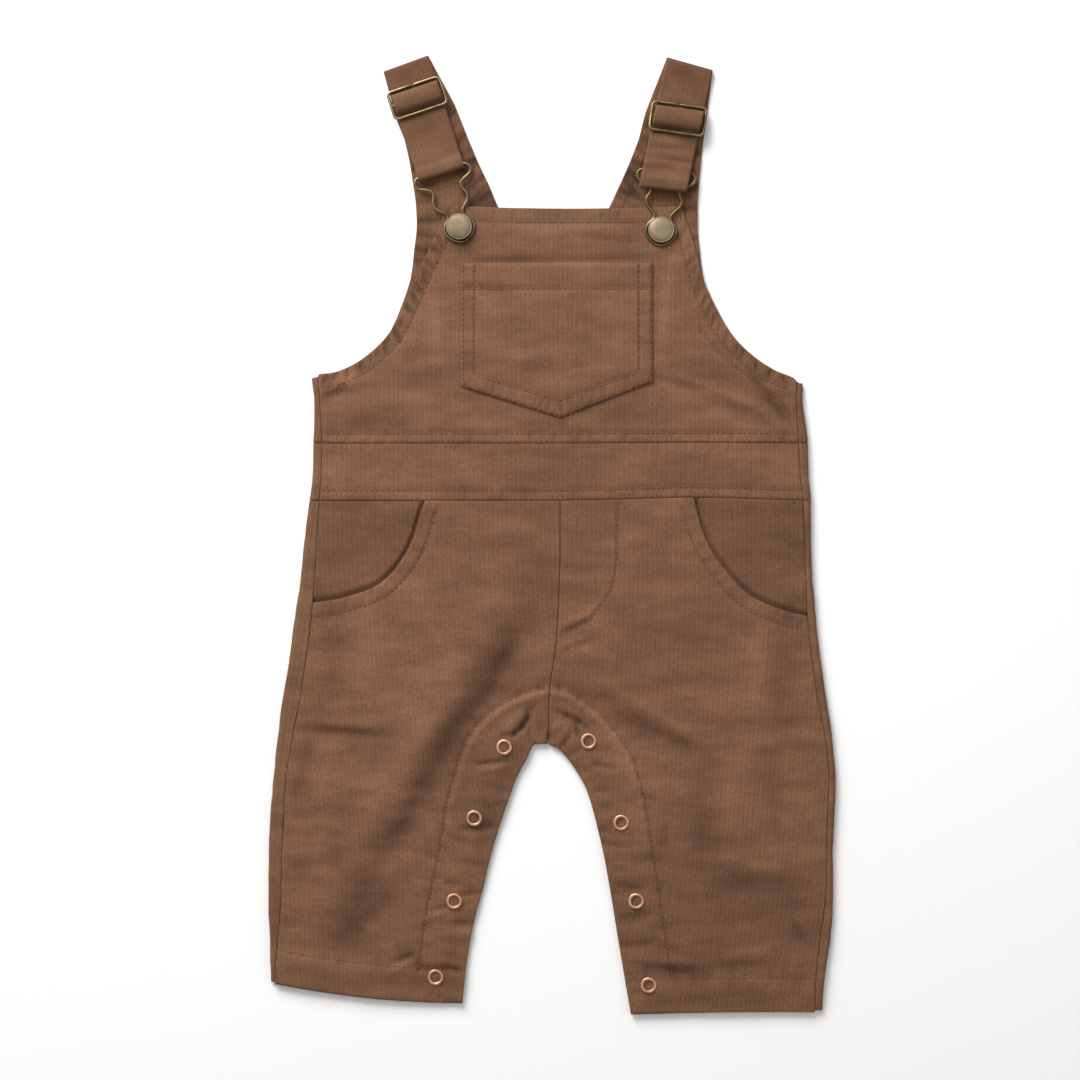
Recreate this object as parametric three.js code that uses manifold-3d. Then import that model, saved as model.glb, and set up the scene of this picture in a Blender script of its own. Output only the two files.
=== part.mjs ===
// Toddler overalls in brown corduroy, laid flat on their back with the straps folded over and hooked
// to the bib. Millimetres. The surface is z = 0, +Z is up, +Y runs from the hems to the straps and +X
// to the viewer's right. Left and right are the viewer's.
import * as THREE from 'three';
import { mergeVertices } from 'three/addons/utils/BufferGeometryUtils.js';
import Module from 'manifold-3d';

const wasm = await Module();
wasm.setup();

// Driving dimensions
const WALL = 1.2;              // corduroy panel
const STRAP_WALL = 1.4;        // strap, two layers turned and pressed
const SEAM_GAP = 0.3;          // between pieces that are sewn or lie on each other
const BACK_INSET = 0.8;        // how far the back stays inside the front's free edges
const BODY_UNDER = 3.3;        // inside of the front over the surface, at waist and legs
const BIB_UNDER = 1.8;         // the same at the top of the bib
const EDGE_UNDER = 1.7;        // the same at hems, inseam and armholes, where the layers meet
const EDGE_FALL = 14;          // how far in from a free edge the front has come down
const LOFT = 1.1;              // how much the middle of a panel stands up
const LOFT_REACH = 55;
const WAIST_Y = 18.3;          // seam of waistband and legs
const BIB_SEAM_Y = 49.3;       // seam of bib and waistband
const STRAP_WIDTH = 26.0;
const WIRE = 1.6;              // wire of slider and hook
const SLIDER_HALF_WIDTH = 14.6;
const SLIDER_HALF_LENGTH = 7.7;
const SLIDER_CORNER = 2.4;
const BUTTON_RADIUS = 7.2;
const SNAP_RADIUS = 4.3;
const SNAP_HOLE_RADIUS = 3.0;
const SNAP_HEIGHT = 0.9;
const SHANK_RADIUS = 2.6;      // button, between its flange and its cap
const FLANGE_RADIUS = 3.4;
const FLANGE_HEIGHT = 0.5;
const BACK_HEM_RISE = 1.0;     // how much higher the back ends than the front, at the leg hems

// Sides of the garment: the side seam, which lies on the front, and the outer edge, where the back
// panel turns round to it
const SIDES = {
  left: [
    { y: 81.3, seam: -125.8, edge: -129.2 },
    { y: 72.6, seam: -125.3, edge: -128.6 },
    { y: 61.8, seam: -124.7, edge: -128.6 },
    { y: 51.0, seam: -124.2, edge: -129.1 },
    { y: 29.4, seam: -124.7, edge: -129.6 },
    { y: 18.6, seam: -125.6, edge: -131.1 },
    { y: -2.9, seam: -126.9, edge: -133.9 },
    { y: -24.6, seam: -128.3, edge: -136.1 },
    { y: -46.2, seam: -130.1, edge: -139.3 },
    { y: -67.8, seam: -132.8, edge: -142.0 },
    { y: -89.4, seam: -136.1, edge: -145.8 },
    { y: -111.0, seam: -140.4, edge: -148.5 },
    { y: -132.6, seam: -143.6, edge: -150.7 },
    { y: -154.2, seam: -145.0, edge: -152.3 },
    { y: -175.8, seam: -146.0, edge: -153.3 },
    { y: -197.4, seam: -146.3, edge: -153.4 },
    { y: -219.0, seam: -148.0, edge: -152.6 },
    { y: -243.0, seam: -149.6, edge: -152.3 },
  ],
  right: [
    { y: 81.3, seam: 132.0, edge: 135.4 },
    { y: 72.6, seam: 131.8, edge: 135.5 },
    { y: 61.8, seam: 132.3, edge: 137.0 },
    { y: 51.0, seam: 133.1, edge: 138.2 },
    { y: 29.4, seam: 134.2, edge: 138.8 },
    { y: 18.6, seam: 135.5, edge: 139.8 },
    { y: -2.9, seam: 136.6, edge: 139.9 },
    { y: -24.6, seam: 137.2, edge: 140.9 },
    { y: -46.2, seam: 138.2, edge: 142.9 },
    { y: -67.8, seam: 140.7, edge: 145.3 },
    { y: -89.4, seam: 143.6, edge: 148.5 },
    { y: -111.0, seam: 147.8, edge: 151.4 },
    { y: -132.6, seam: 149.6, edge: 153.4 },
    { y: -154.2, seam: 148.8, edge: 152.6 },
    { y: -175.8, seam: 148.5, edge: 151.9 },
    { y: -197.4, seam: 147.7, edge: 151.9 },
    { y: -219.0, seam: 144.7, edge: 150.6 },
    { y: -241.0, seam: 142.6, edge: 147.4 },
    { y: -258.3, seam: 142.0, edge: 146.3 },
  ],
};

// Legs, a row for each section from waist to hem. The inside edge is the centre seam, then the crotch
// and the inseam. Rows with a mouth end at the scooped pocket mouth, the others at the side seam.
const LEGS = {
  left: [
    { insideX: 4.3, insideY: 18.3, sideY: 18.3, mouthX: -68.6, mouthY: 18.3, sag: 0 },
    { insideX: 4.3, insideY: 7.3, sideY: 11.5, mouthX: -72.0, mouthY: 7.3, sag: 0 },
    { insideX: 4.3, insideY: -3.0, sideY: 4.6, mouthX: -75.0, mouthY: -2.4, sag: 0 },
    { insideX: 4.3, insideY: -13.8, sideY: -2.3, mouthX: -80.0, mouthY: -12.2, sag: 0 },
    { insideX: 3.8, insideY: -25.7, sideY: -9.2, mouthX: -87.5, mouthY: -21.9, sag: 0 },
    { insideX: 3.5, insideY: -36.5, sideY: -16.0, mouthX: -96.0, mouthY: -28.4, sag: 0 },
    { insideX: 3.0, insideY: -46.2, sideY: -23.0, mouthX: -107.0, mouthY: -32.5, sag: 0 },
    { insideX: 2.2, insideY: -57.0, sideY: -29.6, mouthX: -117.0, mouthY: -35.2, sag: 0 },
    { insideX: 0.8, insideY: -68.9, sideY: -36.8, sag: 0 },
    { insideX: -1.0, insideY: -80.2, sideY: -54.3, sag: 0 },
    { insideX: -1.9, insideY: -92.0, sideY: -72.1, sag: 0 },
    { insideX: -1.9, insideY: -103.0, sideY: -89.4, sag: 0 },
    { insideX: -2.1, insideY: -112.9, sideY: -108.3, sag: 0 },
    { insideX: -9.2, insideY: -113.4, sideY: -121.8, sag: 0 },
    { insideX: -14.0, insideY: -121.8, sideY: -134.2, sag: 0 },
    { insideX: -19.4, insideY: -132.0, sideY: -146.1, sag: 0 },
    { insideX: -23.5, insideY: -143.4, sideY: -159.6, sag: 0 },
    { insideX: -28.0, insideY: -156.3, sideY: -173.1, sag: 0 },
    { insideX: -33.0, insideY: -173.0, sideY: -186.6, sag: 0.3 },
    { insideX: -37.3, insideY: -190.9, sideY: -200.0, sag: 0.7 },
    { insideX: -42.1, insideY: -209.0, sideY: -213.6, sag: 1.2 },
    { insideX: -46.0, insideY: -230.0, sideY: -227.0, sag: 1.8 },
    { insideX: -48.6, insideY: -253.5, sideY: -242.9, sag: 2.4 },
  ],
  right: [
    { insideX: 4.6, insideY: 18.3, sideY: 18.3, mouthX: 76.7, mouthY: 18.3, sag: 0 },
    { insideX: 4.6, insideY: 7.3, sideY: 10.5, mouthX: 79.9, mouthY: 5.1, sag: 0 },
    { insideX: 4.6, insideY: -3.0, sideY: 2.6, mouthX: 85.3, mouthY: -7.8, sag: 0 },
    { insideX: 4.6, insideY: -13.8, sideY: -5.3, mouthX: 92.9, mouthY: -18.6, sag: 0 },
    { insideX: 4.1, insideY: -25.7, sideY: -13.2, mouthX: 100.4, mouthY: -27.3, sag: 0 },
    { insideX: 3.8, insideY: -36.5, sideY: -21.0, mouthX: 108.5, mouthY: -33.8, sag: 0 },
    { insideX: 3.3, insideY: -46.2, sideY: -29.0, mouthX: 119.3, mouthY: -38.9, sag: 0 },
    { insideX: 2.5, insideY: -57.0, sideY: -37.0, mouthX: 129.5, mouthY: -42.2, sag: 0 },
    { insideX: 1.1, insideY: -68.9, sideY: -44.0, sag: 0 },
    { insideX: -0.7, insideY: -80.2, sideY: -60.5, sag: 0 },
    { insideX: -1.6, insideY: -92.0, sideY: -76.0, sag: 0 },
    { insideX: -1.6, insideY: -103.0, sideY: -92.0, sag: 0 },
    { insideX: -1.4, insideY: -112.9, sideY: -108.3, sag: 0 },
    { insideX: 3.4, insideY: -115.6, sideY: -124.5, sag: 0 },
    { insideX: 8.2, insideY: -120.7, sideY: -138.0, sag: 0 },
    { insideX: 13.0, insideY: -127.4, sideY: -151.5, sag: 0 },
    { insideX: 17.4, insideY: -135.0, sideY: -165.0, sag: 0 },
    { insideX: 20.8, insideY: -144.0, sideY: -178.5, sag: 0 },
    { insideX: 24.5, insideY: -158.0, sideY: -192.0, sag: 0 },
    { insideX: 28.4, insideY: -175.0, sideY: -205.5, sag: 0 },
    { insideX: 32.3, insideY: -197.0, sideY: -219.0, sag: 0 },
    { insideX: 36.0, insideY: -220.0, sideY: -234.0, sag: -0.4 },
    { insideX: 42.7, insideY: -259.5, sideY: -258.3, sag: -0.6 },
  ],
};

// Bib, a row for each section from the waist seam up: side seams, then armholes
const BIB = [
  { leftX: -124.2, leftY: 49.3, rightX: 133.1, rightY: 49.3 },
  { leftX: -124.7, leftY: 61.8, rightX: 132.3, rightY: 61.8 },
  { leftX: -125.3, leftY: 72.6, rightX: 131.8, rightY: 72.6 },
  { leftX: -125.8, leftY: 82.6, rightX: 132.0, rightY: 80.9 },
  { leftX: -117.2, leftY: 87.8, rightX: 120.6, rightY: 88.8 },
  { leftX: -103.7, leftY: 94.2, rightX: 110.9, rightY: 95.0 },
  { leftX: -91.5, leftY: 104.8, rightX: 100.1, rightY: 104.8 },
  { leftX: -83.9, leftY: 115.8, rightX: 92.4, rightY: 115.8 },
  { leftX: -79.0, leftY: 126.2, rightX: 86.5, rightY: 126.6 },
  { leftX: -75.0, leftY: 135.3, rightX: 82.2, rightY: 137.4 },
  { leftX: -71.3, leftY: 143.9, rightX: 79.4, rightY: 147.2 },
  { leftX: -67.2, leftY: 152.6, rightX: 77.6, rightY: 154.6 },
  { leftX: -63.7, leftY: 160.2, rightX: 75.5, rightY: 161.6 },
  { leftX: -59.8, leftY: 169.0, rightX: 72.9, rightY: 169.2 },
  { leftX: -57.4, leftY: 177.9, rightX: 70.2, rightY: 177.4 },
];
const BIB_TOP_SAG = 1.5;

// Shoulder extensions of the back, a row for each section from the strap seam down
const SHOULDERS = {
  left: [
    { y: 214.1, outer: -79.9, inner: -45.4 },
    { y: 201.2, outer: -77.0, inner: -39.9 },
    { y: 188.2, outer: -75.0, inner: -33.8 },
    { y: 177.9, outer: -73.6, inner: -29.5 },
    { y: 167.1, outer: -73.2, inner: -24.6 },
    { y: 153.6, outer: -74.6, inner: -17.6 },
    { y: 137.4, outer: -76.8, inner: -8.6 },
    { y: 117.0, outer: -84.0, inner: 0.9 },
  ],
  right: [
    { y: 214.1, outer: 82.1, inner: 47.0 },
    { y: 201.2, outer: 80.5, inner: 42.0 },
    { y: 188.2, outer: 79.4, inner: 36.2 },
    { y: 177.9, outer: 78.8, inner: 31.4 },
    { y: 167.1, outer: 78.8, inner: 25.9 },
    { y: 153.6, outer: 79.9, inner: 18.6 },
    { y: 137.4, outer: 82.4, inner: 9.4 },
    { y: 117.0, outer: 92.0, inner: 0.3 },
  ],
};
const NECK_Y = 118;

// Pockets
const BIB_POCKET = {
  left: -49.1,
  right: 54.5,
  top: 146.6,
  leftFoot: 79.7,
  rightFoot: 82.4,
  pointX: 4.3,
  pointY: 62.9,
};
const POCKET_GAPE = 0.9;
const GAPE_DEPTH = 9;          // how far down from its mouth the bib pocket gapes
const HIP_TUCK = 8;            // how far the hip pocket runs on under the leg panel
const HIP_DIP = 9;             // over which it dips under the leg panel
const HIP_DIP_START = 1.2;
const HIP_FOOT_SLACK = 2;

// Largest folds of the front. Heading is the fold's direction from +X; a trough has a negative height.
const FOLDS = [
  { x: -35.6, y: -82, heading: 57, length: 105, width: 22, height: -1.3 },
  { x: -74.0, y: -146, heading: 61, length: 75, width: 20, height: -1.1 },
  { x: -53.0, y: -76, heading: 57, length: 90, width: 24, height: 1.0 },
  { x: -89.0, y: -140, heading: 61, length: 75, width: 24, height: 0.9 },
  { x: -111.7, y: -107, heading: -5, length: 50, width: 9, height: -0.8 },
  { x: -106.4, y: -211, heading: 45, length: 50, width: 24, height: -0.9 },
  { x: 47.5, y: -104, heading: -28, length: 72, width: 17, height: -1.2 },
  { x: 33.0, y: -121, heading: -60, length: 62, width: 15, height: 0.8 },
  { x: 128.5, y: -84, heading: 88, length: 60, width: 17, height: -1.0 },
  { x: 117.7, y: -192, heading: -15, length: 46, width: 15, height: -0.8 },
  { x: 80.0, y: -236, heading: 5, length: 90, width: 9, height: -0.7 },
  { x: -82.0, y: 79, heading: 8, length: 62, width: 14, height: -0.6 },
  { x: 93.4, y: 81, heading: -23, length: 50, width: 13, height: -0.7 },
];
// A soft sideways ease that the seam of the waist has at the right
const EASE = { x: 77, y: 20, reachX: 42, reachY: 26, rise: 1.7 };

// Straps: centre, heading and width of the section at the back seam, the fold and the hooked end.
// Stations are measured along the front part from the fold.
const STRAPS = {
  left: {
    seam: { x: -68.2, y: 228.4, heading: 12, width: 32.6 },
    fold: { x: -78.6, y: 253.5, heading: 20, width: STRAP_WIDTH },
    end: { x: -59.6, y: 194.6, heading: 18, width: STRAP_WIDTH },
    slider: { station: 18.9, heading: 18.5 },
    drapesOverHook: false,
  },
  right: {
    seam: { x: 66.8, y: 224.9, heading: -10, width: 33.4 },
    fold: { x: 74.3, y: 253.35, heading: -15.7, width: STRAP_WIDTH },
    end: { x: 59.6, y: 186.0, heading: -5.5, width: STRAP_WIDTH },
    slider: { station: 29.6, heading: -8 },
    drapesOverHook: true,
  },
};

// Buttons, with the heading of the hook that hangs on each, from +Y
const FASTENINGS = {
  left: { x: -50.2, y: 166.1, heading: 18 },
  right: { x: 58.9, y: 164.4, heading: -5.5 },
};

// Right half of the hook's wire, from its bar (across, along) round the ears, neck, eye and foot loop
const HOOK = [
  { across: 12.2, along: 31.9 },
  { across: 14.6, along: 31.1 },
  { across: 15.6, along: 28.6 },
  { across: 14.3, along: 26.1 },
  { across: 10.6, along: 24.3 },
  { across: 8.0, along: 22.3 },
  { across: 8.2, along: 19.4 },
  { across: 9.5, along: 16.6 },
  { across: 9.0, along: 13.4 },
  { across: 6.4, along: 10.4 },
  { across: 4.4, along: 7.9 },
  { across: 4.8, along: 5.4 },
  { across: 7.2, along: 2.8 },
  { across: 8.1, along: -0.4 },
  { across: 7.0, along: -3.8 },
  { across: 4.2, along: -6.6 },
];
const HOOK_FOOT = -8.3;

const SNAPS = {
  left: [
    { x: -25.9, y: -114.8 },
    { x: -42.1, y: -153.1 },
    { x: -52.9, y: -197.9 },
    { x: -62.9, y: -239.0 },
  ],
  right: [
    { x: 19.7, y: -111.5 },
    { x: 37.3, y: -155.5 },
    { x: 45.4, y: -197.9 },
    { x: 52.1, y: -243.3 },
  ],
};

// Materials
const finish = (name, color, roughness, metalness) => (
  new THREE.MeshStandardMaterial({ name, color, roughness, metalness })
);
const CORDUROY = finish('corduroy', 0x805d48, 0.95, 0);
const CORDUROY_SHADE = finish('corduroy', 0x6f4f3b, 0.95, 0);
const BRASS = finish('antique_brass', 0x8a7549, 0.38, 1);
const CAP = finish('button_metal', 0x9d866e, 0.42, 1);
const COPPER = finish('snap_copper', 0xc48a6c, 0.35, 1);

// Curves and tables
const lerp = THREE.MathUtils.lerp;
const smooth = THREE.MathUtils.smoothstep;
const radians = THREE.MathUtils.degToRad;

// Slope between two steps of a column, held back so that the curve never swings past a row
function easySlope(step, nextStep) {
  if (step * nextStep <= 0) {
    return 0;
  }
  const steepest = Math.min(2 * Math.abs(step), 2 * Math.abs(nextStep));
  return Math.sign(step) * Math.min(Math.abs(step + nextStep) / 2, steepest);
}

// A smooth curve through one column of a table, at a row number that need not be whole
function columnAt(table, column, row) {
  const last = table.length - 1;
  const from = Math.min(Math.max(Math.floor(row), 0), last - 1);
  const t = row - from;
  const value = (index) => table[Math.min(Math.max(index, 0), last)][column];
  const [before, here, next, after] = [from - 1, from, from + 1, from + 2].map(value);
  const slopeHere = easySlope(here - before, next - here);
  const slopeNext = easySlope(next - here, after - next);
  const bend = 3 * (next - here) - 2 * slopeHere - slopeNext;
  const twist = 2 * (here - next) + slopeHere + slopeNext;
  return here + t * (slopeHere + t * (bend + t * twist));
}

// The row number at which a falling column has a given value
function rowAt(table, column, value) {
  for (let index = 1; index < table.length; index += 1) {
    const above = table[index - 1][column];
    const below = table[index][column];
    if (value >= below) {
      return index - 1 + Math.max((above - value) / (above - below), 0);
    }
  }
  return table.length - 1;
}

const signOf = (side) => (side === 'left' ? -1 : 1);
const sideAt = (side, column, y) => columnAt(SIDES[side], column, rowAt(SIDES[side], 'y', y));

function eased(x, y) {
  const away = ((x - EASE.x) / EASE.reachX) ** 2 + ((y - EASE.y) / EASE.reachY) ** 2;
  return [x, y + EASE.rise * Math.exp(-away)];
}

// Free edges of the front, where it comes down onto the back
const CROTCH_ROW = 12;
const ARMHOLE_ROW = 3;

function freeEdges() {
  const lines = [];
  for (const side of ['left', 'right']) {
    const leg = LEGS[side];
    const hem = leg[leg.length - 1];
    const inseam = leg.slice(CROTCH_ROW).map((row) => [row.insideX, row.insideY]);
    lines.push([...inseam, [sideAt(side, 'edge', hem.sideY), hem.sideY]]);
    lines.push(BIB.slice(ARMHOLE_ROW).map((row) => [row[`${side}X`], row[`${side}Y`]]));
  }
  const top = BIB[BIB.length - 1];
  lines.push([[top.leftX, top.leftY], [top.rightX, top.rightY]]);
  return lines.flatMap((line) => line.slice(1).map((end, index) => [line[index], end]));
}

function distanceTo(segments, x, y) {
  let nearest = Infinity;
  for (const [[fromX, fromY], [toX, toY]] of segments) {
    const [runX, runY] = [toX - fromX, toY - fromY];
    const share = ((x - fromX) * runX + (y - fromY) * runY) / (runX * runX + runY * runY);
    const t = Math.min(Math.max(share, 0), 1);
    nearest = Math.min(nearest, Math.hypot(x - fromX - t * runX, y - fromY - t * runY));
  }
  return nearest;
}

const FREE_EDGES = freeEdges();

function foldHeight(x, y) {
  let height = 0;
  for (const fold of FOLDS) {
    const [cos, sin] = [Math.cos(radians(fold.heading)), Math.sin(radians(fold.heading))];
    const along = ((x - fold.x) * cos + (y - fold.y) * sin) / (fold.length / 2);
    const across = ((y - fold.y) * cos - (x - fold.x) * sin) / (fold.width / 2);
    height += fold.height * Math.exp(-(along ** 4) - across ** 2);
  }
  return height;
}

// Height of the front's inside over the surface. It is lower from the foot of the armholes up.
const BIB_FALL = { from: 90, to: 150 };
const FOLD_START = 2;

function frontUnder(x, y) {
  const free = distanceTo(FREE_EDGES, x, y);
  const middle = 1 - (2 * x / (sideAt('right', 'seam', y) - sideAt('left', 'seam', y))) ** 2;
  const loft = LOFT * smooth(free, 0, LOFT_REACH) * Math.max(middle, 0);
  const base = lerp(BODY_UNDER, BIB_UNDER, smooth(y, BIB_FALL.from, BIB_FALL.to));
  const inner = base + (loft + foldHeight(x, y)) * smooth(free, FOLD_START, EDGE_FALL);
  return Math.max(EDGE_UNDER, lerp(EDGE_UNDER, inner, smooth(free, 0, EDGE_FALL)));
}

const frontOver = (x, y) => frontUnder(x, y) + WALL;

// Solids
function meshOf(points, faces) {
  const geometry = new THREE.BufferGeometry();
  const places = points.flatMap((point) => [point.x, point.y, point.z]);
  geometry.setAttribute('position', new THREE.Float32BufferAttribute(places, 3));
  const volume = faces.reduce(
    (sum, [a, b, c]) => sum + points[a].dot(new THREE.Vector3().crossVectors(points[b], points[c])),
    0,
  );
  geometry.setIndex(faces.flatMap(([a, b, c]) => (volume > 0 ? [a, b, c] : [a, c, b])));
  return geometry;
}

// A wall from a grid of sections, each a row of places with an over and an under point
function wall(sections) {
  const [rows, columns] = [sections.length, sections[0].length];
  const points = sections.flatMap((row) => row.flatMap(({ over, under }) => [over, under]));
  const overAt = (row, column) => 2 * (row * columns + column);
  const underAt = (row, column) => overAt(row, column) + 1;
  const faces = [];
  const quad = (a, b, c, d) => faces.push([a, b, c], [a, c, d]);
  for (let row = 0; row < rows - 1; row += 1) {
    const next = row + 1;
    for (let column = 0; column < columns - 1; column += 1) {
      const beside = column + 1;
      quad(overAt(row, column), overAt(next, column), overAt(next, beside), overAt(row, beside));
      quad(underAt(row, column), underAt(row, beside), underAt(next, beside), underAt(next, column));
    }
    quad(overAt(row, 0), underAt(row, 0), underAt(row + 1, 0), overAt(row + 1, 0));
    const end = columns - 1;
    quad(overAt(row, end), overAt(row + 1, end), underAt(row + 1, end), underAt(row, end));
  }
  for (let column = 0; column < columns - 1; column += 1) {
    const end = rows - 1;
    quad(overAt(0, column), overAt(0, column + 1), underAt(0, column + 1), underAt(0, column));
    quad(overAt(end, column), underAt(end, column), underAt(end, column + 1), overAt(end, column + 1));
  }
  return meshOf(points, faces);
}

// A panel laid over something: place gives a plan point for two shares from 0 to 1
function panel(rowShares, columnShares, place, under, thickness = WALL) {
  return wall(rowShares.map((v) => columnShares.map((u) => {
    const [x, y] = eased(...place(u, v));
    const z = under(x, y);
    return { over: new THREE.Vector3(x, y, z + thickness), under: new THREE.Vector3(x, y, z) };
  })));
}

const shares = (count) => Array.from({ length: count + 1 }, (_, index) => index / count);
// Shares that lie closer together at both ends, where a panel comes down to its edge
const edgeShares = (count) => shares(count).map((t) => lerp(t, 0.5 - 0.5 * Math.cos(Math.PI * t), 0.55));

// Joins overlapping walls into one solid
function joined(geometries) {
  const solids = geometries.map((geometry) => {
    const merged = mergeVertices(geometry, 1e-4);
    const vertProperties = Float32Array.from(merged.attributes.position.array);
    const triVerts = Uint32Array.from(merged.index.array);
    return new wasm.Manifold(new wasm.Mesh({ numProp: 3, vertProperties, triVerts }));
  });
  const whole = solids.reduce((sum, solid) => sum.add(solid)).getMesh();
  const geometry = new THREE.BufferGeometry();
  geometry.setAttribute('position', new THREE.BufferAttribute(new Float32Array(whole.vertProperties), 3));
  geometry.setIndex(new THREE.BufferAttribute(new Uint32Array(whole.triVerts), 1));
  return geometry;
}

// The side of a back panel: off the surface, round the edge and in to the side seam on the front
const TURN_STEPS = 6;
const TURN_LAP = 1.5;

function sideTurn(side, stations) {
  const sign = signOf(side);
  return wall(stations.map((y) => {
    const seam = sideAt(side, 'seam', y) + sign * SEAM_GAP / 2;
    const edge = sideAt(side, 'edge', y);
    const top = frontOver(seam, y);
    const radius = top / 2;
    const centre = edge - sign * radius;
    const spot = (x, overZ, underX, underZ) => ({
      over: new THREE.Vector3(...eased(x, y), overZ),
      under: new THREE.Vector3(...eased(underX, y), underZ),
    });
    const start = centre - sign * TURN_LAP;
    const arc = shares(TURN_STEPS).map((t) => {
      const turn = Math.PI * (t - 0.5);
      const [out, up] = [Math.cos(turn), Math.sin(turn)];
      const inside = radius - WALL;
      const outerX = centre + sign * radius * out;
      const innerX = centre + sign * inside * out;
      return spot(outerX, radius * (1 + up), innerX, radius + inside * up);
    });
    return [spot(start, 0, start, WALL), ...arc, spot(seam, top, seam, top - WALL)];
  }));
}

// Flat cloth on the surface
const flat = (rowShares, columnShares, place) => panel(rowShares, columnShares, place, () => 0);

const between = (from, to) => (t) => [lerp(from[0], to[0], t), lerp(from[1], to[1], t)];
const span = (from, to, count) => shares(count).map((t) => lerp(from, to, t));
// Where the flat part of a back panel ends and the turn round the side begins
function flatEdge(side, y) {
  const radius = frontOver(sideAt(side, 'seam', y), y) / 2;
  return sideAt(side, 'edge', y) - signOf(side) * radius;
}

// Front
const LEG_ROWS = 28;
const LEG_COLUMNS = 15;

// Row number, inside point and sag of a leg's section. The back is a little narrower along the inseam.
function legSection(side, v, inset = 0) {
  const table = LEGS[side];
  const row = v * (table.length - 1);
  const shift = signOf(side) * inset * smooth(row, CROTCH_ROW - 0.5, CROTCH_ROW + 1);
  const inside = [columnAt(table, 'insideX', row) + shift, columnAt(table, 'insideY', row)];
  return { row, inside, sag: columnAt(table, 'sag', row) };
}

function frontLeg(side) {
  const table = LEGS[side];
  const sign = signOf(side);
  const mouths = table.filter((row) => row.mouthX !== undefined);
  const mouthY = table[mouths.length].sideY;
  const mouthTable = [...mouths, { mouthX: sideAt(side, 'seam', mouthY), mouthY }];
  return panel(shares(LEG_ROWS), edgeShares(LEG_COLUMNS), (u, v) => {
    const { row, inside, sag } = legSection(side, v);
    const y = columnAt(table, 'sideY', row);
    const atMouth = row < mouthTable.length - 1;
    const outside = atMouth
      ? [columnAt(mouthTable, 'mouthX', row), columnAt(mouthTable, 'mouthY', row)]
      : [sideAt(side, 'seam', y), y];
    outside[0] -= sign * SEAM_GAP / 2;
    const [x, lineY] = between(inside, outside)(u);
    return [x, lineY - sag * 4 * u * (1 - u) - (v === 0 ? SEAM_GAP / 2 : 0)];
  }, frontUnder);
}

function frontBib() {
  return panel(shares(18), edgeShares(20), (u, v) => {
    const row = v * (BIB.length - 1);
    const ends = ['left', 'right'].map((side) => {
      const y = columnAt(BIB, `${side}Y`, row);
      const edge = row <= ARMHOLE_ROW ? sideAt(side, 'seam', y) : columnAt(BIB, `${side}X`, row);
      return [edge - signOf(side) * SEAM_GAP / 2, y];
    });
    const [x, y] = between(...ends)(u);
    const dip = BIB_TOP_SAG * 4 * u * (1 - u) * smooth(v, 0.8, 1);
    return [x, y - dip + (v === 0 ? SEAM_GAP / 2 : 0)];
  }, frontUnder);
}

function frontWaistband() {
  return panel(shares(3), edgeShares(20), (u, v) => {
    const y = lerp(WAIST_Y + SEAM_GAP / 2, BIB_SEAM_Y - SEAM_GAP / 2, v);
    const left = sideAt('left', 'seam', y) + SEAM_GAP / 2;
    const right = sideAt('right', 'seam', y) - SEAM_GAP / 2;
    return [lerp(left, right, u), y];
  }, frontUnder);
}

function bibPocket() {
  const { left, right, top, leftFoot, rightFoot, pointX, pointY } = BIB_POCKET;
  const pointShare = (pointX - left) / (right - left);
  const columns = [...span(0, pointShare, 6), ...span(pointShare, 1, 6).slice(1)];
  return panel(shares(10), columns, (u, v) => {
    const foot = u < pointShare
      ? lerp(leftFoot, pointY, u / pointShare)
      : lerp(pointY, rightFoot, (u - pointShare) / (1 - pointShare));
    return [lerp(left, right, u), lerp(top, foot, v)];
  }, (x, y) => {
    const across = (2 * (x - left)) / (right - left) - 1;
    const gape = POCKET_GAPE * Math.exp(-(((top - y) / GAPE_DEPTH) ** 2)) * Math.max(1 - across ** 2, 0);
    return frontOver(x, y) + SEAM_GAP + gape;
  });
}

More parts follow.
